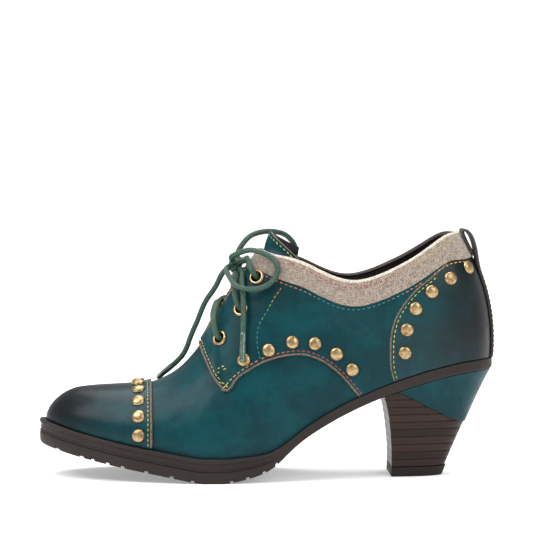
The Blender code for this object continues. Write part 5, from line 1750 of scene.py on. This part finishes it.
def back_point(across, level, out):
    """A point over the back of the upper at a distance from its centre line."""
    if abs(across) < 1e-6:
        return last_offset(-1, 1.0, level, out)
    side = -1 if across < 0 else 1
    low, high = 0.80, 1.0
    for _ in range(24):
        middle = (low + high) / 2
        if abs(last_offset(side, middle, level, out)[1]) > abs(across):
            low = middle
        else:
            high = middle
    return last_offset(side, low, level, out)


# Middle line of the backstay and its loop: level on the upper, then the distance from the counter
# in thicknesses of the strip and in shares of LOOP_DEPTH
STAY_PATH = (
    (0.000, 0.5, 0.00),
    (0.125, 0.5, 0.00),
    (0.250, 0.5, 0.00),
    (0.375, 0.5, 0.00),
    (0.500, 0.5, 0.00),
    (0.625, 0.5, 0.00),
    (0.720, 0.5, 0.00),
    (0.800, 1.73, 0.00),
    (0.865, 1.73, 0.30),
    (0.935, 1.73, 0.52),
    (0.985, 1.73, 0.40),
    (1.000, 1.73, 0.05),
    (0.985, 0.81, 0.00),
    (0.930, 0.5, 0.00),
    (0.875, 0.5, 0.00),
    (0.820, 0.5, 0.00),
)


def make_backstay():
    """The strip up the back seam, folded at its top into a pull loop."""
    on_counter = 2 * GAP + OVERLAY
    half = STAY_THICKNESS / 2
    columns = np.linspace(-0.5, 0.5, 7) * STAY_WIDTH
    middles = []
    for level, thick, loop in STAY_PATH:
        out = on_counter + thick * STAY_THICKNESS + loop * LOOP_DEPTH
        middles.append([back_point(across, level, out) for across in columns])
    middles = np.array(middles)
    ways = np.gradient(middles, axis=0)
    ways[..., 1] = 0
    ways = unit(ways)
    normal = xyz(ways[..., 2], 0.0, -ways[..., 0]) * half
    looks = [finish("counter_leather"), finish("lining")]
    stay = grid_solid("stay_strip", middles + normal, middles - normal, looks, finish("lining"))
    crease_edges(stay)
    finished(smooth_shading(subdivided(stay, 2), 60), "teal_dark", "backstay")


def crease_edges(made, amount=0.7):
    """Keeps a sheet's rim fairly crisp when it is subdivided."""
    bm = bmesh.new()
    bm.from_mesh(made.data)
    layer = bm.edges.layers.float.get("crease_edge") or bm.edges.layers.float.new("crease_edge")
    for edge in bm.edges:
        if edge.calc_face_angle(0.0) > math.radians(60):
            edge[layer] = amount
    bm.to_mesh(made.data)
    bm.free()


def point_across(across, turn, out):
    """The point of an offset surface on one section, at a distance from the centre line."""
    side = -1 if across < 0 else 1
    low, high = 0.3, 1.0
    for _ in range(24):
        middle = (low + high) / 2
        if abs(last_offset(side, turn, middle, out)[1]) > abs(across):
            low = middle
        else:
            high = middle
    return last_offset(side, turn, low, out)


TONGUE_TURNS = np.linspace(float(turn_of(FLAT_START)), TOP_TURN, 9)


def tongue_column(across, straight, upright, depth):
    """One line up the tongue, under the facing and then out of the collar."""
    side = -1 if across < 0 else 1
    last = TOP_TURN + 0.004
    while abs(last_offset(side, last, 0.999, -depth)[1]) < abs(across):
        last += 0.002
    points = [point_across(across, turn, -depth) for turn in TONGUE_TURNS]
    way = unit(points[-1] - points[-2])
    leaving = point_across(across, last, -depth)
    if np.linalg.norm(leaving - points[-1]) < TONGUE_STEP:
        leaving = points[-1] + way * TONGUE_STEP
    else:
        way = unit(leaving - points[-1])
    rising = unit(way * 0.25 + np.array((0, 0, 0.75)))
    inwards = last_normal(side, last, 0.98) * TONGUE_CLEAR
    out = leaving + way * straight - inwards
    points.append(leaving - inwards / 2)
    return points + [out, out + rising * upright / 2, out + rising * upright]


def tongue_centre(depth):
    """The tongue's middle line, which bulges a little between the facings."""
    points = []
    for number, turn in enumerate(TONGUE_TURNS):
        relief = 0.0019 * max(0.0, (number - 3) / (len(TONGUE_TURNS) - 4))
        x = LENGTH * SHAPE["ridge"](along_of(turn))
        way = ridge_way(x)
        points.append(ridge_point(x) - xyz(-way[2], 0.0, way[0]) * (depth - relief))
    lean = np.array((0.34, 0, 0.94))
    points += [points[-1] + lean * TONGUE_RISE * share for share in (0.20, 0.46, 0.73, 1.0)]
    return points


def tongue_grid():
    """Front points and outward directions of the tongue, in rows up it and columns across."""
    depth = UPPER_WALL + TONGUE_DEPTH
    columns = [
        tongue_column(across * BALL_WIDTH, straight * TONGUE_RISE, upright * TONGUE_RISE, depth)
        for across, straight, upright in TONGUE_EDGE
    ]
    centre = tongue_centre(depth)
    half = len(columns) // 2
    beside = [0.6 * np.array(centre) + 0.4 * np.array(columns[i]) for i in (half - 1, half)]
    columns[half:half] = [beside[0], centre, beside[1]]
    front = np.array(columns).transpose(1, 0, 2)
    up, across = np.gradient(front, axis=0), np.gradient(front, axis=1)
    normal = unit(np.cross(up, across))
    for _ in range(2):
        padded = np.pad(normal, ((1, 1), (1, 1), (0, 0)), mode="edge")
        rows, count = front.shape[:2]
        near = [padded[i : i + rows, j : j + count] for i in range(3) for j in range(3)]
        normal = unit(sum(near))
    return front, normal


def make_tongue():
    """The tongue under the facings, with its free end standing out of the collar."""
    front, normal = tongue_grid()
    back = front - normal * TONGUE_THICKNESS
    looks = [finish("upper_leather"), finish("lining")]
    made = grid_solid("tongue_leather", front, back, looks, finish("raw_edge"))
    crease_edges(made)
    finished(smooth_shading(subdivided(made, 2), 60), "teal_leather", "tongue")


def make_insole():
    """The insole, on the turned-in lasting margin."""
    base = GAP + UPPER_WALL + 2 * GAP
    turns = turns_between(0.0, 1.0)
    columns = np.linspace(0, 1, 15)
    grids = []
    for lift in (base, base + INSOLE_THICKNESS):
        inset = LEDGE(along_of(turns)) + UPPER_WALL + INSOLE_CLEAR
        left, _ = outline_point(-1, turns, inset)
        right, _ = outline_point(1, turns, inset)
        plan = left[:, None] + (right - left)[:, None] * columns[None, :, None]
        grids.append(xyz(plan[..., 0], plan[..., 1], sole_top(plan[..., 0]) + lift))
    made = grid_solid("sock_and_insole", grids[1], grids[0], [finish("lining")])
    finished(smooth_shading(made, 50), "lining", "insole")


def forefoot_share(along):
    """1 along the thick forefoot of the sole, falling to 0 at the waist."""
    ramp = np.clip((0.535 - along) / 0.06, 0, 1)
    return ramp * ramp * (3 - 2 * ramp)


def sole_stations():
    """Outline parameters of the sole's stations, doubled at each notch, and the notch there."""
    edge = 0.0003
    turns = [(t, 0.0) for t in turns_between(0.0, 1.0)]
    for start, end in NOTCHES:
        turns = [(t, d) for t, d in turns if not start - edge < along_of(t) < end + edge]
        turns += [(float(turn_of(start - edge)), 0.0), (float(turn_of(end + edge)), 0.0)]
        inner = np.linspace(start + edge, end - edge, 3)
        turns += [(float(turn_of(a)), TREAD_DEPTH) for a in inner]
    turns.sort()
    return np.array([t for t, _ in turns]), np.array([d for _, d in turns])


def make_outsole():
    """The rubber sole with its welt rim, stitched channel, groove and cut tread."""
    turns, notch = sole_stations()
    forefoot = forefoot_share(along_of(turns))
    rings = {}
    for side in (-1, 1):
        wall_rows = []
        for level, inset, forefoot_only in SOLE_WALL:
            depth = CHANNEL_DEPTH * inset * (forefoot if forefoot_only else 1.0)
            plan, _ = outline_point(side, turns, depth)
            x = plan[..., 0]
            z = sole_bottom(x) + (1 - level) * sole_thickness(x)
            z = np.maximum(z, sole_bottom(x) + notch)
            wall_rows.append(xyz(x, plan[..., 1], z))
        rings[side] = np.stack(wall_rows, axis=1)
    columns = 10
    shares = np.linspace(0, 1, columns + 1)[1:-1]
    left, right = rings[-1], rings[1]

    def across(row):
        sheet = left[:, row][:, None] + (right[:, row] - left[:, row])[:, None] * shares[:, None]
        if row:
            sheet[..., 2] = sole_bottom(sheet[..., 0])
        return sheet

    section = np.concatenate([left, across(-1), right[:, ::-1], across(0)[:, ::-1]], axis=1)
    size = section.shape[1]
    faces = []
    for i in range(len(turns) - 1):
        a, b = i * size, (i + 1) * size
        faces += [[a + j, b + j, b + (j + 1) % size, a + (j + 1) % size] for j in range(size)]
    made = mesh_piece("sole_unit", section, faces, [finish("rubber")])
    finished(smooth_shading(made, 32), "brown_rubber", "outsole")


def heel_columns(inset):
    """Lines down the heel from the sole to the floor, all the way round, as arrays of points."""
    levels = np.linspace(0, 1, 41)
    back_moved, breast_moved, narrowed = (
        spline(HEEL_FORM[:, 0], HEEL_FORM[:, i])(levels) for i in (1, 2, 3)
    )
    count = 30
    first = float(turn_of(BREAST_TOP / LENGTH))
    lines = []
    for side, order in ((-1, range(count + 1)), (1, range(count - 1, -1, -1))):
        for i in order:
            share = i / count
            plan, _ = outline_point(side, first + (1 - first) * share, HEEL_LEDGE * 0.35 + inset)
            angle = math.pi / 2 * share
            bow = math.cos(angle) ** 0.55 if share < 1 else 0.0
            tip_x = HEEL_FRONT + (TIP_LENGTH - inset) * math.sin(angle) ** 1.1
            tip_y = side * (TIP_WIDTH / 2 - inset) * bow
            along_share = (plan[0] - BREAST_TOP) / (LENGTH - BREAST_TOP)
            moved = breast_moved + (back_moved - breast_moved) * along_share
            x = plan[0] + (tip_x - plan[0]) * moved
            y = plan[1] + (tip_y - plan[1]) * narrowed
            z = levels * (float(sole_bottom(plan[0])) - GAP)
            lines.append(xyz(x, y, z))
    return lines


def heel_form(name, inset, heights, bevel, look):
    """The heel between heights, as level rings that end at the sole's underside."""
    lines = heel_columns(inset)
    count = len(lines)
    middle = np.mean([line[:, :2].mean(0) for line in lines], axis=0)
    rings = []
    for height, draw in zip(heights, bevel):
        ring = []
        for line in lines:
            top = float(sole_bottom(np.interp(height, line[:, 2], line[:, 0]))) - GAP
            z = min(height, line[-1, 2], top)
            x, y = np.interp(z, line[:, 2], line[:, 0]), np.interp(z, line[:, 2], line[:, 1])
            way = unit(np.array((x, y)) - middle)
            ring.append((x - way[0] * draw, y - way[1] * draw, z))
        rings.append(ring)
    faces = []
    for i in range(len(rings) - 1):
        a, b = i * count, (i + 1) * count
        faces += [[a + j, a + (j + 1) % count, b + (j + 1) % count, b + j] for j in range(count)]
    for base in (0, (len(rings) - 1) * count):
        for j in range(count // 2):
            k, m, o = j + 1, (count - j - 1) % count, (count - j) % count
            faces.append(list(dict.fromkeys([base + j, base + k, base + m, base + o])))
    return mesh_piece(name, rings, faces, [look], merge=2e-6)


def cover_prism(distance, look):
    """Everything above the heel cover's lower edge, which is moved down by a distance."""
    rows = np.array(COVER_LINE, float)
    keys = np.arange(len(rows))
    places = np.arange(6 * (len(rows) - 1) + 1) / 6
    across = spline(keys, rows[:, 0] * LENGTH)(places)
    up = spline(keys, rows[:, 1] * UPPER_RISE)(places) - distance
    line = list(zip(across.tolist(), up.tolist()))
    high = HEEL_HEIGHT + 0.03
    return prism("limit", line + [(line[-1][0], high), (line[0][0], high)], -0.06, 0.06, look)


def make_heel(sizes):
    """The stacked block with its layers, the leather cover over its back, and the rubber tip."""
    top = HEEL_HEIGHT
    edge = 0.0004
    heights = [0.0, edge, TIP_HEIGHT - edge, TIP_HEIGHT]
    tip = heel_form("top_piece", 0.0, heights, (edge, 0.0, 0.0, edge / 2), finish("tip"))
    finished(smooth_shading(tip, 35), "tip_rubber", "heel_tip")
    start = TIP_HEIGHT + GAP
    heights, draws = [start], [edge / 2]
    layer = TIP_HEIGHT + sizes.layer_pitch
    while layer < top:
        heights += [layer - edge, layer, layer + edge]
        draws += [0.0, edge * 0.6, 0.0]
        layer += sizes.layer_pitch
    heights.append(top + 0.001)
    draws.append(0.0)
    block = heel_form("heel_stack", COVER_STEP, heights, draws, finish("stack"))
    cut(block, cover_prism(GAP, finish("stack")), "DIFFERENCE")
    finished(smooth_shading(block, 35), "stacked_heel", "heel_block")
    heights = list(np.linspace(0.02, top + 0.001, 34))
    cover = heel_form("heel_wedge", 0.0, heights, [0.0] * 34, finish("upper_leather"))
    cut(cover, cover_prism(0.0, finish("raw_edge")), "INTERSECT")
    finished(smooth_shading(cover, 35), "teal_leather", "heel_cover")


def make_eyelets():
    """The six brass eyelets, each a rolled ring with its barrel through the facing."""
    top = OVER + GAP
    angles = np.linspace(0, math.pi, 9)
    middle, roll = (EYELET_HOLE + EYELET_RADIUS) / 2, (EYELET_RADIUS - EYELET_HOLE) / 2
    profile = [(EYELET_HOLE, -UPPER_WALL)]
    profile += [(middle - roll * math.cos(a), top + EYELET_RISE * math.sin(a)) for a in angles]
    profile += [(EYELET_BARREL, top), (EYELET_BARREL, -UPPER_WALL)]
    for side, word in ((-1, "lateral"), (1, "medial")):
        points, normals, ways = [], [], []
        for place in EYELETS:
            turn, level = place_on_side(side, *place)
            points.append(last_point(side, turn, level))
            normals.append(last_normal(side, turn, level))
            ways.append((1.0, 0.0, 0.0))
        shape = turned_shape("eyelet_shape", profile, 32)
        made = set_on_points(f"eyelets_{word}", points, ways, normals, shape, "eyelet_brass")
        nodes = [f"eyelet_{word}_{i + 1}" for i in range(len(EYELETS))]
        finished(smooth_shading(made, 50), "brass", *nodes)


def cap_line(x_goal, steps=161):
    """Outline parameters and levels of a line straight across the toe, from one sole edge to the
    other, with the side of each."""
    rows = []
    for side in (-1, 1):
        levels = np.linspace(0.02, 1, steps)
        low, high = np.zeros(steps), np.full(steps, 0.45)
        for _ in range(28):
            middle = (low + high) / 2
            before = last_point(side, middle, levels)[:, 0] < x_goal
            low = np.where(before, middle, low)
            high = np.where(before, high, middle)
        half = [(side, t, v) for t, v in zip(low, levels)]
        rows += half if side < 0 else half[::-1]
    return rows


def cap_stud_places():
    """The cap's studs, evenly spaced from the ridge down on both sides."""
    places = []
    for side in (-1, 1):
        rows = [row for row in cap_line(LENGTH * CAP_STUD_LINE) if row[0] == side]
        rows.sort(key=lambda row: -row[2])
        points = np.array([last_point(*row) for row in rows])
        walked = arc_lengths(points, 0)
        for number in range(CAP_STUDS // 2):
            nearest = int(np.argmin(np.abs(walked - CAP_STUD_PITCH * (number + 0.5))))
            places.append(rows[nearest])
    return places


def make_studs():
    """The domed studs on the cap, the quarters and the counter."""
    base = OVER + 0.5 * GAP
    angles = np.linspace(0, math.pi / 2, 8)
    profile = [(STUD_RADIUS * 0.90, base), (STUD_RADIUS, base + 0.00012)]
    wide, foot = STUD_RADIUS * 0.97, base + 0.0003
    dome = [(wide * math.cos(a), foot + STUD_RISE * math.sin(a)) for a in angles]
    profile += dome[:-1] + [(1e-5, dome[-1][1]), (1e-5, base)]
    groups = {"cap": cap_stud_places()}
    for word, table in (("quarter", QUARTER_STUDS), ("counter", COUNTER_STUDS)):
        groups[word] = [(s, *place_on_side(s, *place)) for s in (-1, 1) for place in table]
    for word, places in groups.items():
        points = [surface(*place, 0.0) for place in places]
        normals = [last_normal(*place) for place in places]
        ways = [(1.0, 0.0, 0.0)] * len(points)
        shape = turned_shape("stud_shape", profile, 28)
        made = set_on_points(f"studs_{word}", points, ways, normals, shape, "brass")
        number = len(places) // 2
        nodes = [f"stud_{word}_{s}_{i + 1}" for s in ("lateral", "medial") for i in range(number)]
        finished(smooth_shading(made, 55), "brass", *nodes)


def stitch_shape(sizes):
    """One stitch: a short round-ended length of thread, sunk at both ends."""
    rings, sides = 7, 6
    vertices, faces = [], []
    for i in range(rings):
        share = 2 * i / (rings - 1) - 1
        width = sizes.thread / 2 * math.sqrt(max(0.04, 1 - abs(share) ** 4))
        sink = -0.45 * sizes.thread * abs(share) ** 3
        for j in range(sides):
            angle = 2 * math.pi * j / sides
            y, z = width * math.cos(angle), width * math.sin(angle) + sink
            vertices.append((share * sizes.stitch_length / 2, y, z))
    for i in range(rings - 1):
        for j in range(sides):
            k = (j + 1) % sides
            faces.append([i * sides + j, i * sides + k, (i + 1) * sides + k, (i + 1) * sides + j])
    faces.append(list(range(sides)))
    faces.append(list(range((rings - 1) * sides, rings * sides)))
    made = mesh_piece("stitch_shape", vertices, faces, [])
    made.hide_render = True
    return smooth_shading(made, 70)


def stitch_rows():
    """Rows of stitches on the upper: side, side-view line in metres, height over the last and
    the thread's colours along it."""
    sizes = bpy.context.scene.shoe_sizes
    inset = sizes.stitch_inset
    flap = shifted(side_curve(QUARTER_EDGE[: FLAP_CORNER + 1], 8), inset)
    lower = shifted(side_curve(QUARTER_EDGE[FLAP_CORNER:], 8), inset)
    counter = shifted(side_curve(COUNTER_EDGE, 8), -inset)
    under = band_line(GAP + inset)[1:-1]
    front, back = LENGTH * (RIDGE_TOP + 0.006), LENGTH * (COLLAR_BACK - 0.004)
    top_xs = np.linspace(front, back, 60)
    top = [(x, float(collar_height(x)) - 0.0031) for x in top_xs]
    split = COUNTER_EDGE[-2][0] * LENGTH
    facing = side_curve(FACING_STITCH, 10)
    join_level = min(range(len(lower)), key=lambda i: abs(lower[i][0] - facing[-1][0]))
    tack = [(a * LENGTH, h * UPPER_RISE) for a, h in BAR_TACK]
    rows = []
    for side in (-1, 1):
        rows += [
            (side, flap[3:], OVER, ("yellow", "yellow", "lime", "yellow")),
            (side, lower[:join_level], OVER, ("yellow", "orange")),
            (side, lower[join_level:-3], OVER, ("orange", "red", "red", "red")),
            (side, facing, OVER, ("orange", "green", "teal", "teal")),
            (side, counter[1:-6], OVER, ("lime", "yellow", "lime", "yellow")),
            (side, [p for p in under if p[0] < split - 0.004], OVER,
             ("orange", "orange", "teal", "teal", "teal", "orange")),
            (side, [p for p in under if p[0] > split + 0.001], OVER, ("orange", "yellow")),
            (side, top, OVER, ("orange", "red", "red", "red", "yellow", "olive")),
        ]
        for distance in (-TACK_HALF, TACK_HALF):
            rows.append((side, shifted(tack, distance), OVER + TACK_LIFT, ("yellow", "yellow")))
    return rows


def make_stitches(sizes):
    """Every row of stitches: on the overlays, across the toe cap, up the backstay and the welt."""
    points, ways, normals, colours = [], [], [], []

    def add(line, outward_of, names, pitch):
        spots, way, shares = even_points(line, pitch)
        points.append(spots)
        ways.append(way)
        normals.append(outward_of(shares))
        colours.append(thread_colours(shares, names))

    def sewn(side, turn, level, out, names, pitch):
        line = surface(side, turn, level, out)
        normal = last_normal(side, turn, level)
        keys = arc_lengths(line, 0)
        share = keys / keys[-1]

        def outward(shares):
            return unit(read_off(shares, share, normal))

        add(line, outward, names, pitch)

    for side, line, out, names in stitch_rows():
        turn, level = on_side(side, line)
        sewn(side, turn, level, out, names, sizes.stitch_pitch)
    for side in (-1, 1):
        facing = np.linspace(THROAT_TURN + 0.004, TOP_TURN - 0.012, 40)
        edge_names = ("yellow", "lime", "yellow", "lime", "yellow")
        sewn(side, facing, np.full(40, FACING_EDGE), OVER, edge_names, sizes.stitch_pitch)
        rows = [r for r in cap_line(LENGTH * CAP_EDGE - sizes.stitch_inset) if r[0] == side]
        turn = np.array([r[1] for r in rows])
        level = np.array([r[2] for r in rows])
        names = ("lime", "yellow", "green") if side < 0 else ("green", "yellow", "lime")
        sewn(side, turn, level, OVER, names, sizes.stitch_pitch)
    for across in (-0.5, 0.5):
        place = (STAY_WIDTH * across) - math.copysign(sizes.stitch_inset, across)
        out = 2 * GAP + OVERLAY + STAY_THICKNESS
        levels = np.linspace(0.03, 0.78, 30)
        line = np.array([back_point(place, level, out) for level in levels])
        outward = unit(np.cross((0, 1, 0), np.gradient(line, axis=0)))
        outward *= np.sign(outward[:, :1])

        def facing(shares, outward=outward):
            keys = np.linspace(0, 1, len(outward))
            return unit(read_off(shares, keys, outward))

        add(line, facing, ("yellow", "green", "yellow"), sizes.stitch_pitch)
    front, normal = tongue_grid()
    line = front[-1] + unit(front[-2] - front[-1]) * sizes.stitch_inset + normal[-1] * 0.0002

    def raised(shares):
        keys = np.linspace(0, 1, len(line))
        return unit(read_off(shares, keys, normal[-1]))

    add(line, raised, ("yellow", "lime", "yellow"), sizes.stitch_pitch)
    made = set_on_points(
        "stitches", np.concatenate(points), np.concatenate(ways), np.concatenate(normals),
        stitch_shape(sizes), "thread", np.concatenate(colours), 0.06,
    )
    finished(smooth_shading(made, 70), "linen")

    points, ways, normals = [], [], []
    for side in (-1, 1):
        turns = np.linspace(0.004, float(turn_of(0.50)), 200)
        depth = CHANNEL_DEPTH * forefoot_share(along_of(turns))
        plan, outward = outline_point(side, turns, depth)
        x = plan[:, 0]
        line = xyz(x, plan[:, 1], sole_bottom(x) + 0.69 * sole_thickness(x))
        spots, way, shares = even_points(line, sizes.stitch_pitch * 1.15)
        share = arc_lengths(line, 0) / arc_lengths(line, 0)[-1]
        flat = xyz(outward[:, 0], outward[:, 1], 0.0)
        points.append(spots)
        ways.append(way)
        normals.append(read_off(shares, share, flat))
    total = sum(len(p) for p in points)
    made = set_on_points(
        "welt_stitches", np.concatenate(points), np.concatenate(ways), np.concatenate(normals),
        stitch_shape(sizes), "thread", [THREADS["dark"]] * total, 0.06,
    )
    finished(smooth_shading(made, 70), "brown_rubber")


# The camera as the photograph has it: degrees round the shoe and over the horizon, distance,
# focal length and the point it looks at, which is at the middle of the picture
CAMERA_AZIMUTH = -2.5
CAMERA_ELEVATION = 4.0
CAMERA_DISTANCE = 1.8
CAMERA_LENS = 222.4
CAMERA_TARGET = Vector((0.1242, 0.0, 0.114)) + SHIFT

# The pale surroundings: full white up to the first height, then dimmer above the second
SKY_FADE = (0.12, 0.38, 1.05, 0.50)

# Painted glow of the floor, which lights itself as a white light table does though it is no
# lamp, and less near the shoe, which paints shade round it: from the first distance to the
# second it grows from the third value to the fourth
FLOOR_GLOW = (0.20, 1.10, 0.30, 0.66)

# The soft lights: name, place, what it is aimed at, size and power in watts
LIGHTS = (
    ("key_light", (-0.80, -0.50, 1.25), (0, 0, 0.04), 1.0, 19),
    ("fill_light", (0.95, -0.95, 1.0), (0, 0, 0.05), 1.0, 9),
    ("top_light", (0.05, 0.45, 1.5), (0, 0, 0.03), 1.4, 26),
)


def area_light(name, location, target, size, power, colour=(1.0, 1.0, 1.0)):
    """A square soft light aimed at a point."""
    light = bpy.data.lights.new(name, "AREA")
    light.shape = "SQUARE"
    light.size = size
    light.energy = power
    light.color = colour
    made = link(bpy.data.objects.new(name, light))
    made.location = location
    made.rotation_mode = "QUATERNION"
    made.rotation_quaternion = (Vector(target) - Vector(location)).to_track_quat("-Z", "Y")
    return made


def make_stage(colours):
    """The camera, the pale floor with its painted glow, the world and the soft lights."""
    a, e = math.radians(CAMERA_AZIMUTH), math.radians(CAMERA_ELEVATION)
    back = Vector((math.sin(a) * math.cos(e), -math.cos(a) * math.cos(e), math.sin(e)))
    camera = bpy.data.objects.new("camera", bpy.data.cameras.new("camera"))
    camera.data.lens = CAMERA_LENS
    camera.data.sensor_width = 36
    camera.location = CAMERA_TARGET + back * CAMERA_DISTANCE
    camera.rotation_mode = "QUATERNION"
    camera.rotation_quaternion = (-back).to_track_quat("-Z", "Y")
    link(camera)
    bpy.context.scene.camera = camera

    reach = 6.0
    vertices = [(-reach, -reach, 0), (reach, -reach, 0), (reach, reach, 0), (-reach, reach, 0)]
    floor = mesh_piece("floor", vertices, [[0, 1, 2, 3]], [])
    n = Nodes("floor")
    near, far, low, high = FLOOR_GLOW
    away = n.add("VectorMath", operation="LENGTH")
    n.feed(away.inputs[0], n.place)
    # Painted glow: the floor emits light, weaker near the shoe, where it reads as painted shade
    strength = n.ramp(away.outputs["Value"], near, far, low, high)
    glow = {"Emission_Color": (1.0, 1.0, 1.0), "Emission_Strength": strength}
    floor.data.materials.append(n.set(Base_Color=rgb(colours, "floor"), Roughness=0.6, **glow))

    world = bpy.context.scene.world or bpy.data.worlds.new("studio")
    bpy.context.scene.world = world
    world.use_nodes = True
    background = world.node_tree.nodes["Background"]
    background.inputs["Color"].default_value = (1.0, 1.0, 1.0, 1.0)
    tree = world.node_tree
    way = tree.nodes.new("ShaderNodeTexCoord")
    parts = tree.nodes.new("ShaderNodeSeparateXYZ")
    fade = tree.nodes.new("ShaderNodeMapRange")
    fade.interpolation_type = "SMOOTHSTEP"
    for key, value in zip(("From Min", "From Max", "To Min", "To Max"), SKY_FADE):
        fade.inputs[key].default_value = value
    tree.links.new(way.outputs["Generated"], parts.inputs[0])
    tree.links.new(parts.outputs[2], fade.inputs["Value"])
    tree.links.new(fade.outputs[0], background.inputs["Strength"])
    bpy.context.scene.view_settings.view_transform = "Standard"
    for light in LIGHTS:
        area_light(*light)


class SHOE_OT_stage(Operator):
    """Make the camera, floor and lights"""

    bl_idname = "shoe.stage"
    bl_label = "Stage"

    def execute(self, context):
        make_stage(context.scene.shoe_colours)
        return {"FINISHED"}


class SHOE_OT_laces(Operator):
    """Make the lacing, the bow and the lace's two ends"""

    bl_idname = "shoe.laces"
    bl_label = "Laces"

    def execute(self, context):
        make_laces()
        return {"FINISHED"}


class SHOE_OT_upper(Operator):
    """Make the lasted shell with its vamp and lining"""

    bl_idname = "shoe.upper"
    bl_label = "Upper"

    def execute(self, context):
        make_upper()
        return {"FINISHED"}


class SHOE_OT_overlays(Operator):
    """Make the toe cap, the quarters and the counter"""

    bl_idname = "shoe.overlays"
    bl_label = "Overlays"

    def execute(self, context):
        make_toe_cap()
        make_quarters()
        make_counter()
        make_raw_edges()
        return {"FINISHED"}


class SHOE_OT_collar_band(Operator):
    """Make the linen band round the collar"""

    bl_idname = "shoe.collar_band"
    bl_label = "Collar band"

    def execute(self, context):
        make_collar_band()
        return {"FINISHED"}


class SHOE_OT_backstay(Operator):
    """Make the strip up the back with its pull loop"""

    bl_idname = "shoe.backstay"
    bl_label = "Backstay"

    def execute(self, context):
        make_backstay()
        return {"FINISHED"}


class SHOE_OT_tongue(Operator):
    """Make the tongue"""

    bl_idname = "shoe.tongue"
    bl_label = "Tongue"

    def execute(self, context):
        make_tongue()
        return {"FINISHED"}


class SHOE_OT_insole(Operator):
    """Make the insole"""

    bl_idname = "shoe.insole"
    bl_label = "Insole"

    def execute(self, context):
        make_insole()
        return {"FINISHED"}


class SHOE_OT_outsole(Operator):
    """Make the rubber sole"""

    bl_idname = "shoe.outsole"
    bl_label = "Outsole"

    def execute(self, context):
        make_outsole()
        return {"FINISHED"}


class SHOE_OT_heel(Operator):
    """Make the stacked heel, its cover and its tip"""

    bl_idname = "shoe.heel"
    bl_label = "Heel"

    def execute(self, context):
        make_heel(context.scene.shoe_sizes)
        return {"FINISHED"}


class SHOE_OT_eyelets(Operator):
    """Make the brass eyelets"""

    bl_idname = "shoe.eyelets"
    bl_label = "Eyelets"

    def execute(self, context):
        make_eyelets()
        return {"FINISHED"}


class SHOE_OT_studs(Operator):
    """Make the domed brass studs"""

    bl_idname = "shoe.studs"
    bl_label = "Studs"

    def execute(self, context):
        make_studs()
        return {"FINISHED"}


class SHOE_OT_stitches(Operator):
    """Make the rows of stitches"""

    bl_idname = "shoe.stitches"
    bl_label = "Stitches"

    def execute(self, context):
        make_stitches(context.scene.shoe_sizes)
        return {"FINISHED"}


STEPS = (
    SHOE_OT_stage,
    SHOE_OT_laces,
    SHOE_OT_upper,
    SHOE_OT_overlays,
    SHOE_OT_collar_band,
    SHOE_OT_backstay,
    SHOE_OT_tongue,
    SHOE_OT_insole,
    SHOE_OT_outsole,
    SHOE_OT_heel,
    SHOE_OT_eyelets,
    SHOE_OT_studs,
    SHOE_OT_stitches,
)


class SHOE_PT_panel(Panel):
    """Lists the shoe's steps, sizes and colours"""

    bl_label = "Heeled oxford"
    bl_idname = "SHOE_PT_panel"
    bl_space_type = "VIEW_3D"
    bl_region_type = "UI"
    bl_category = "Shoe"

    def draw(self, context):
        layout = self.layout
        for step in STEPS:
            layout.operator(step.bl_idname)
        for group in (context.scene.shoe_sizes, context.scene.shoe_colours):
            for name in group.__annotations__:
                layout.prop(group, name)


CLASSES = (ShoeSizes, ShoeColours, *STEPS, SHOE_PT_panel)


def register():
    for item in CLASSES:
        bpy.utils.register_class(item)
    bpy.types.Scene.shoe_sizes = PointerProperty(type=ShoeSizes)
    bpy.types.Scene.shoe_colours = PointerProperty(type=ShoeColours)


def unregister():
    del bpy.types.Scene.shoe_colours
    del bpy.types.Scene.shoe_sizes
    for item in reversed(CLASSES):
        bpy.utils.unregister_class(item)


def main():
    """Registers the add-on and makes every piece."""
    register()
    for step in STEPS:
        group, name = step.bl_idname.split(".")
        getattr(getattr(bpy.ops, group), name)()


if __name__ == "__main__":
    main()
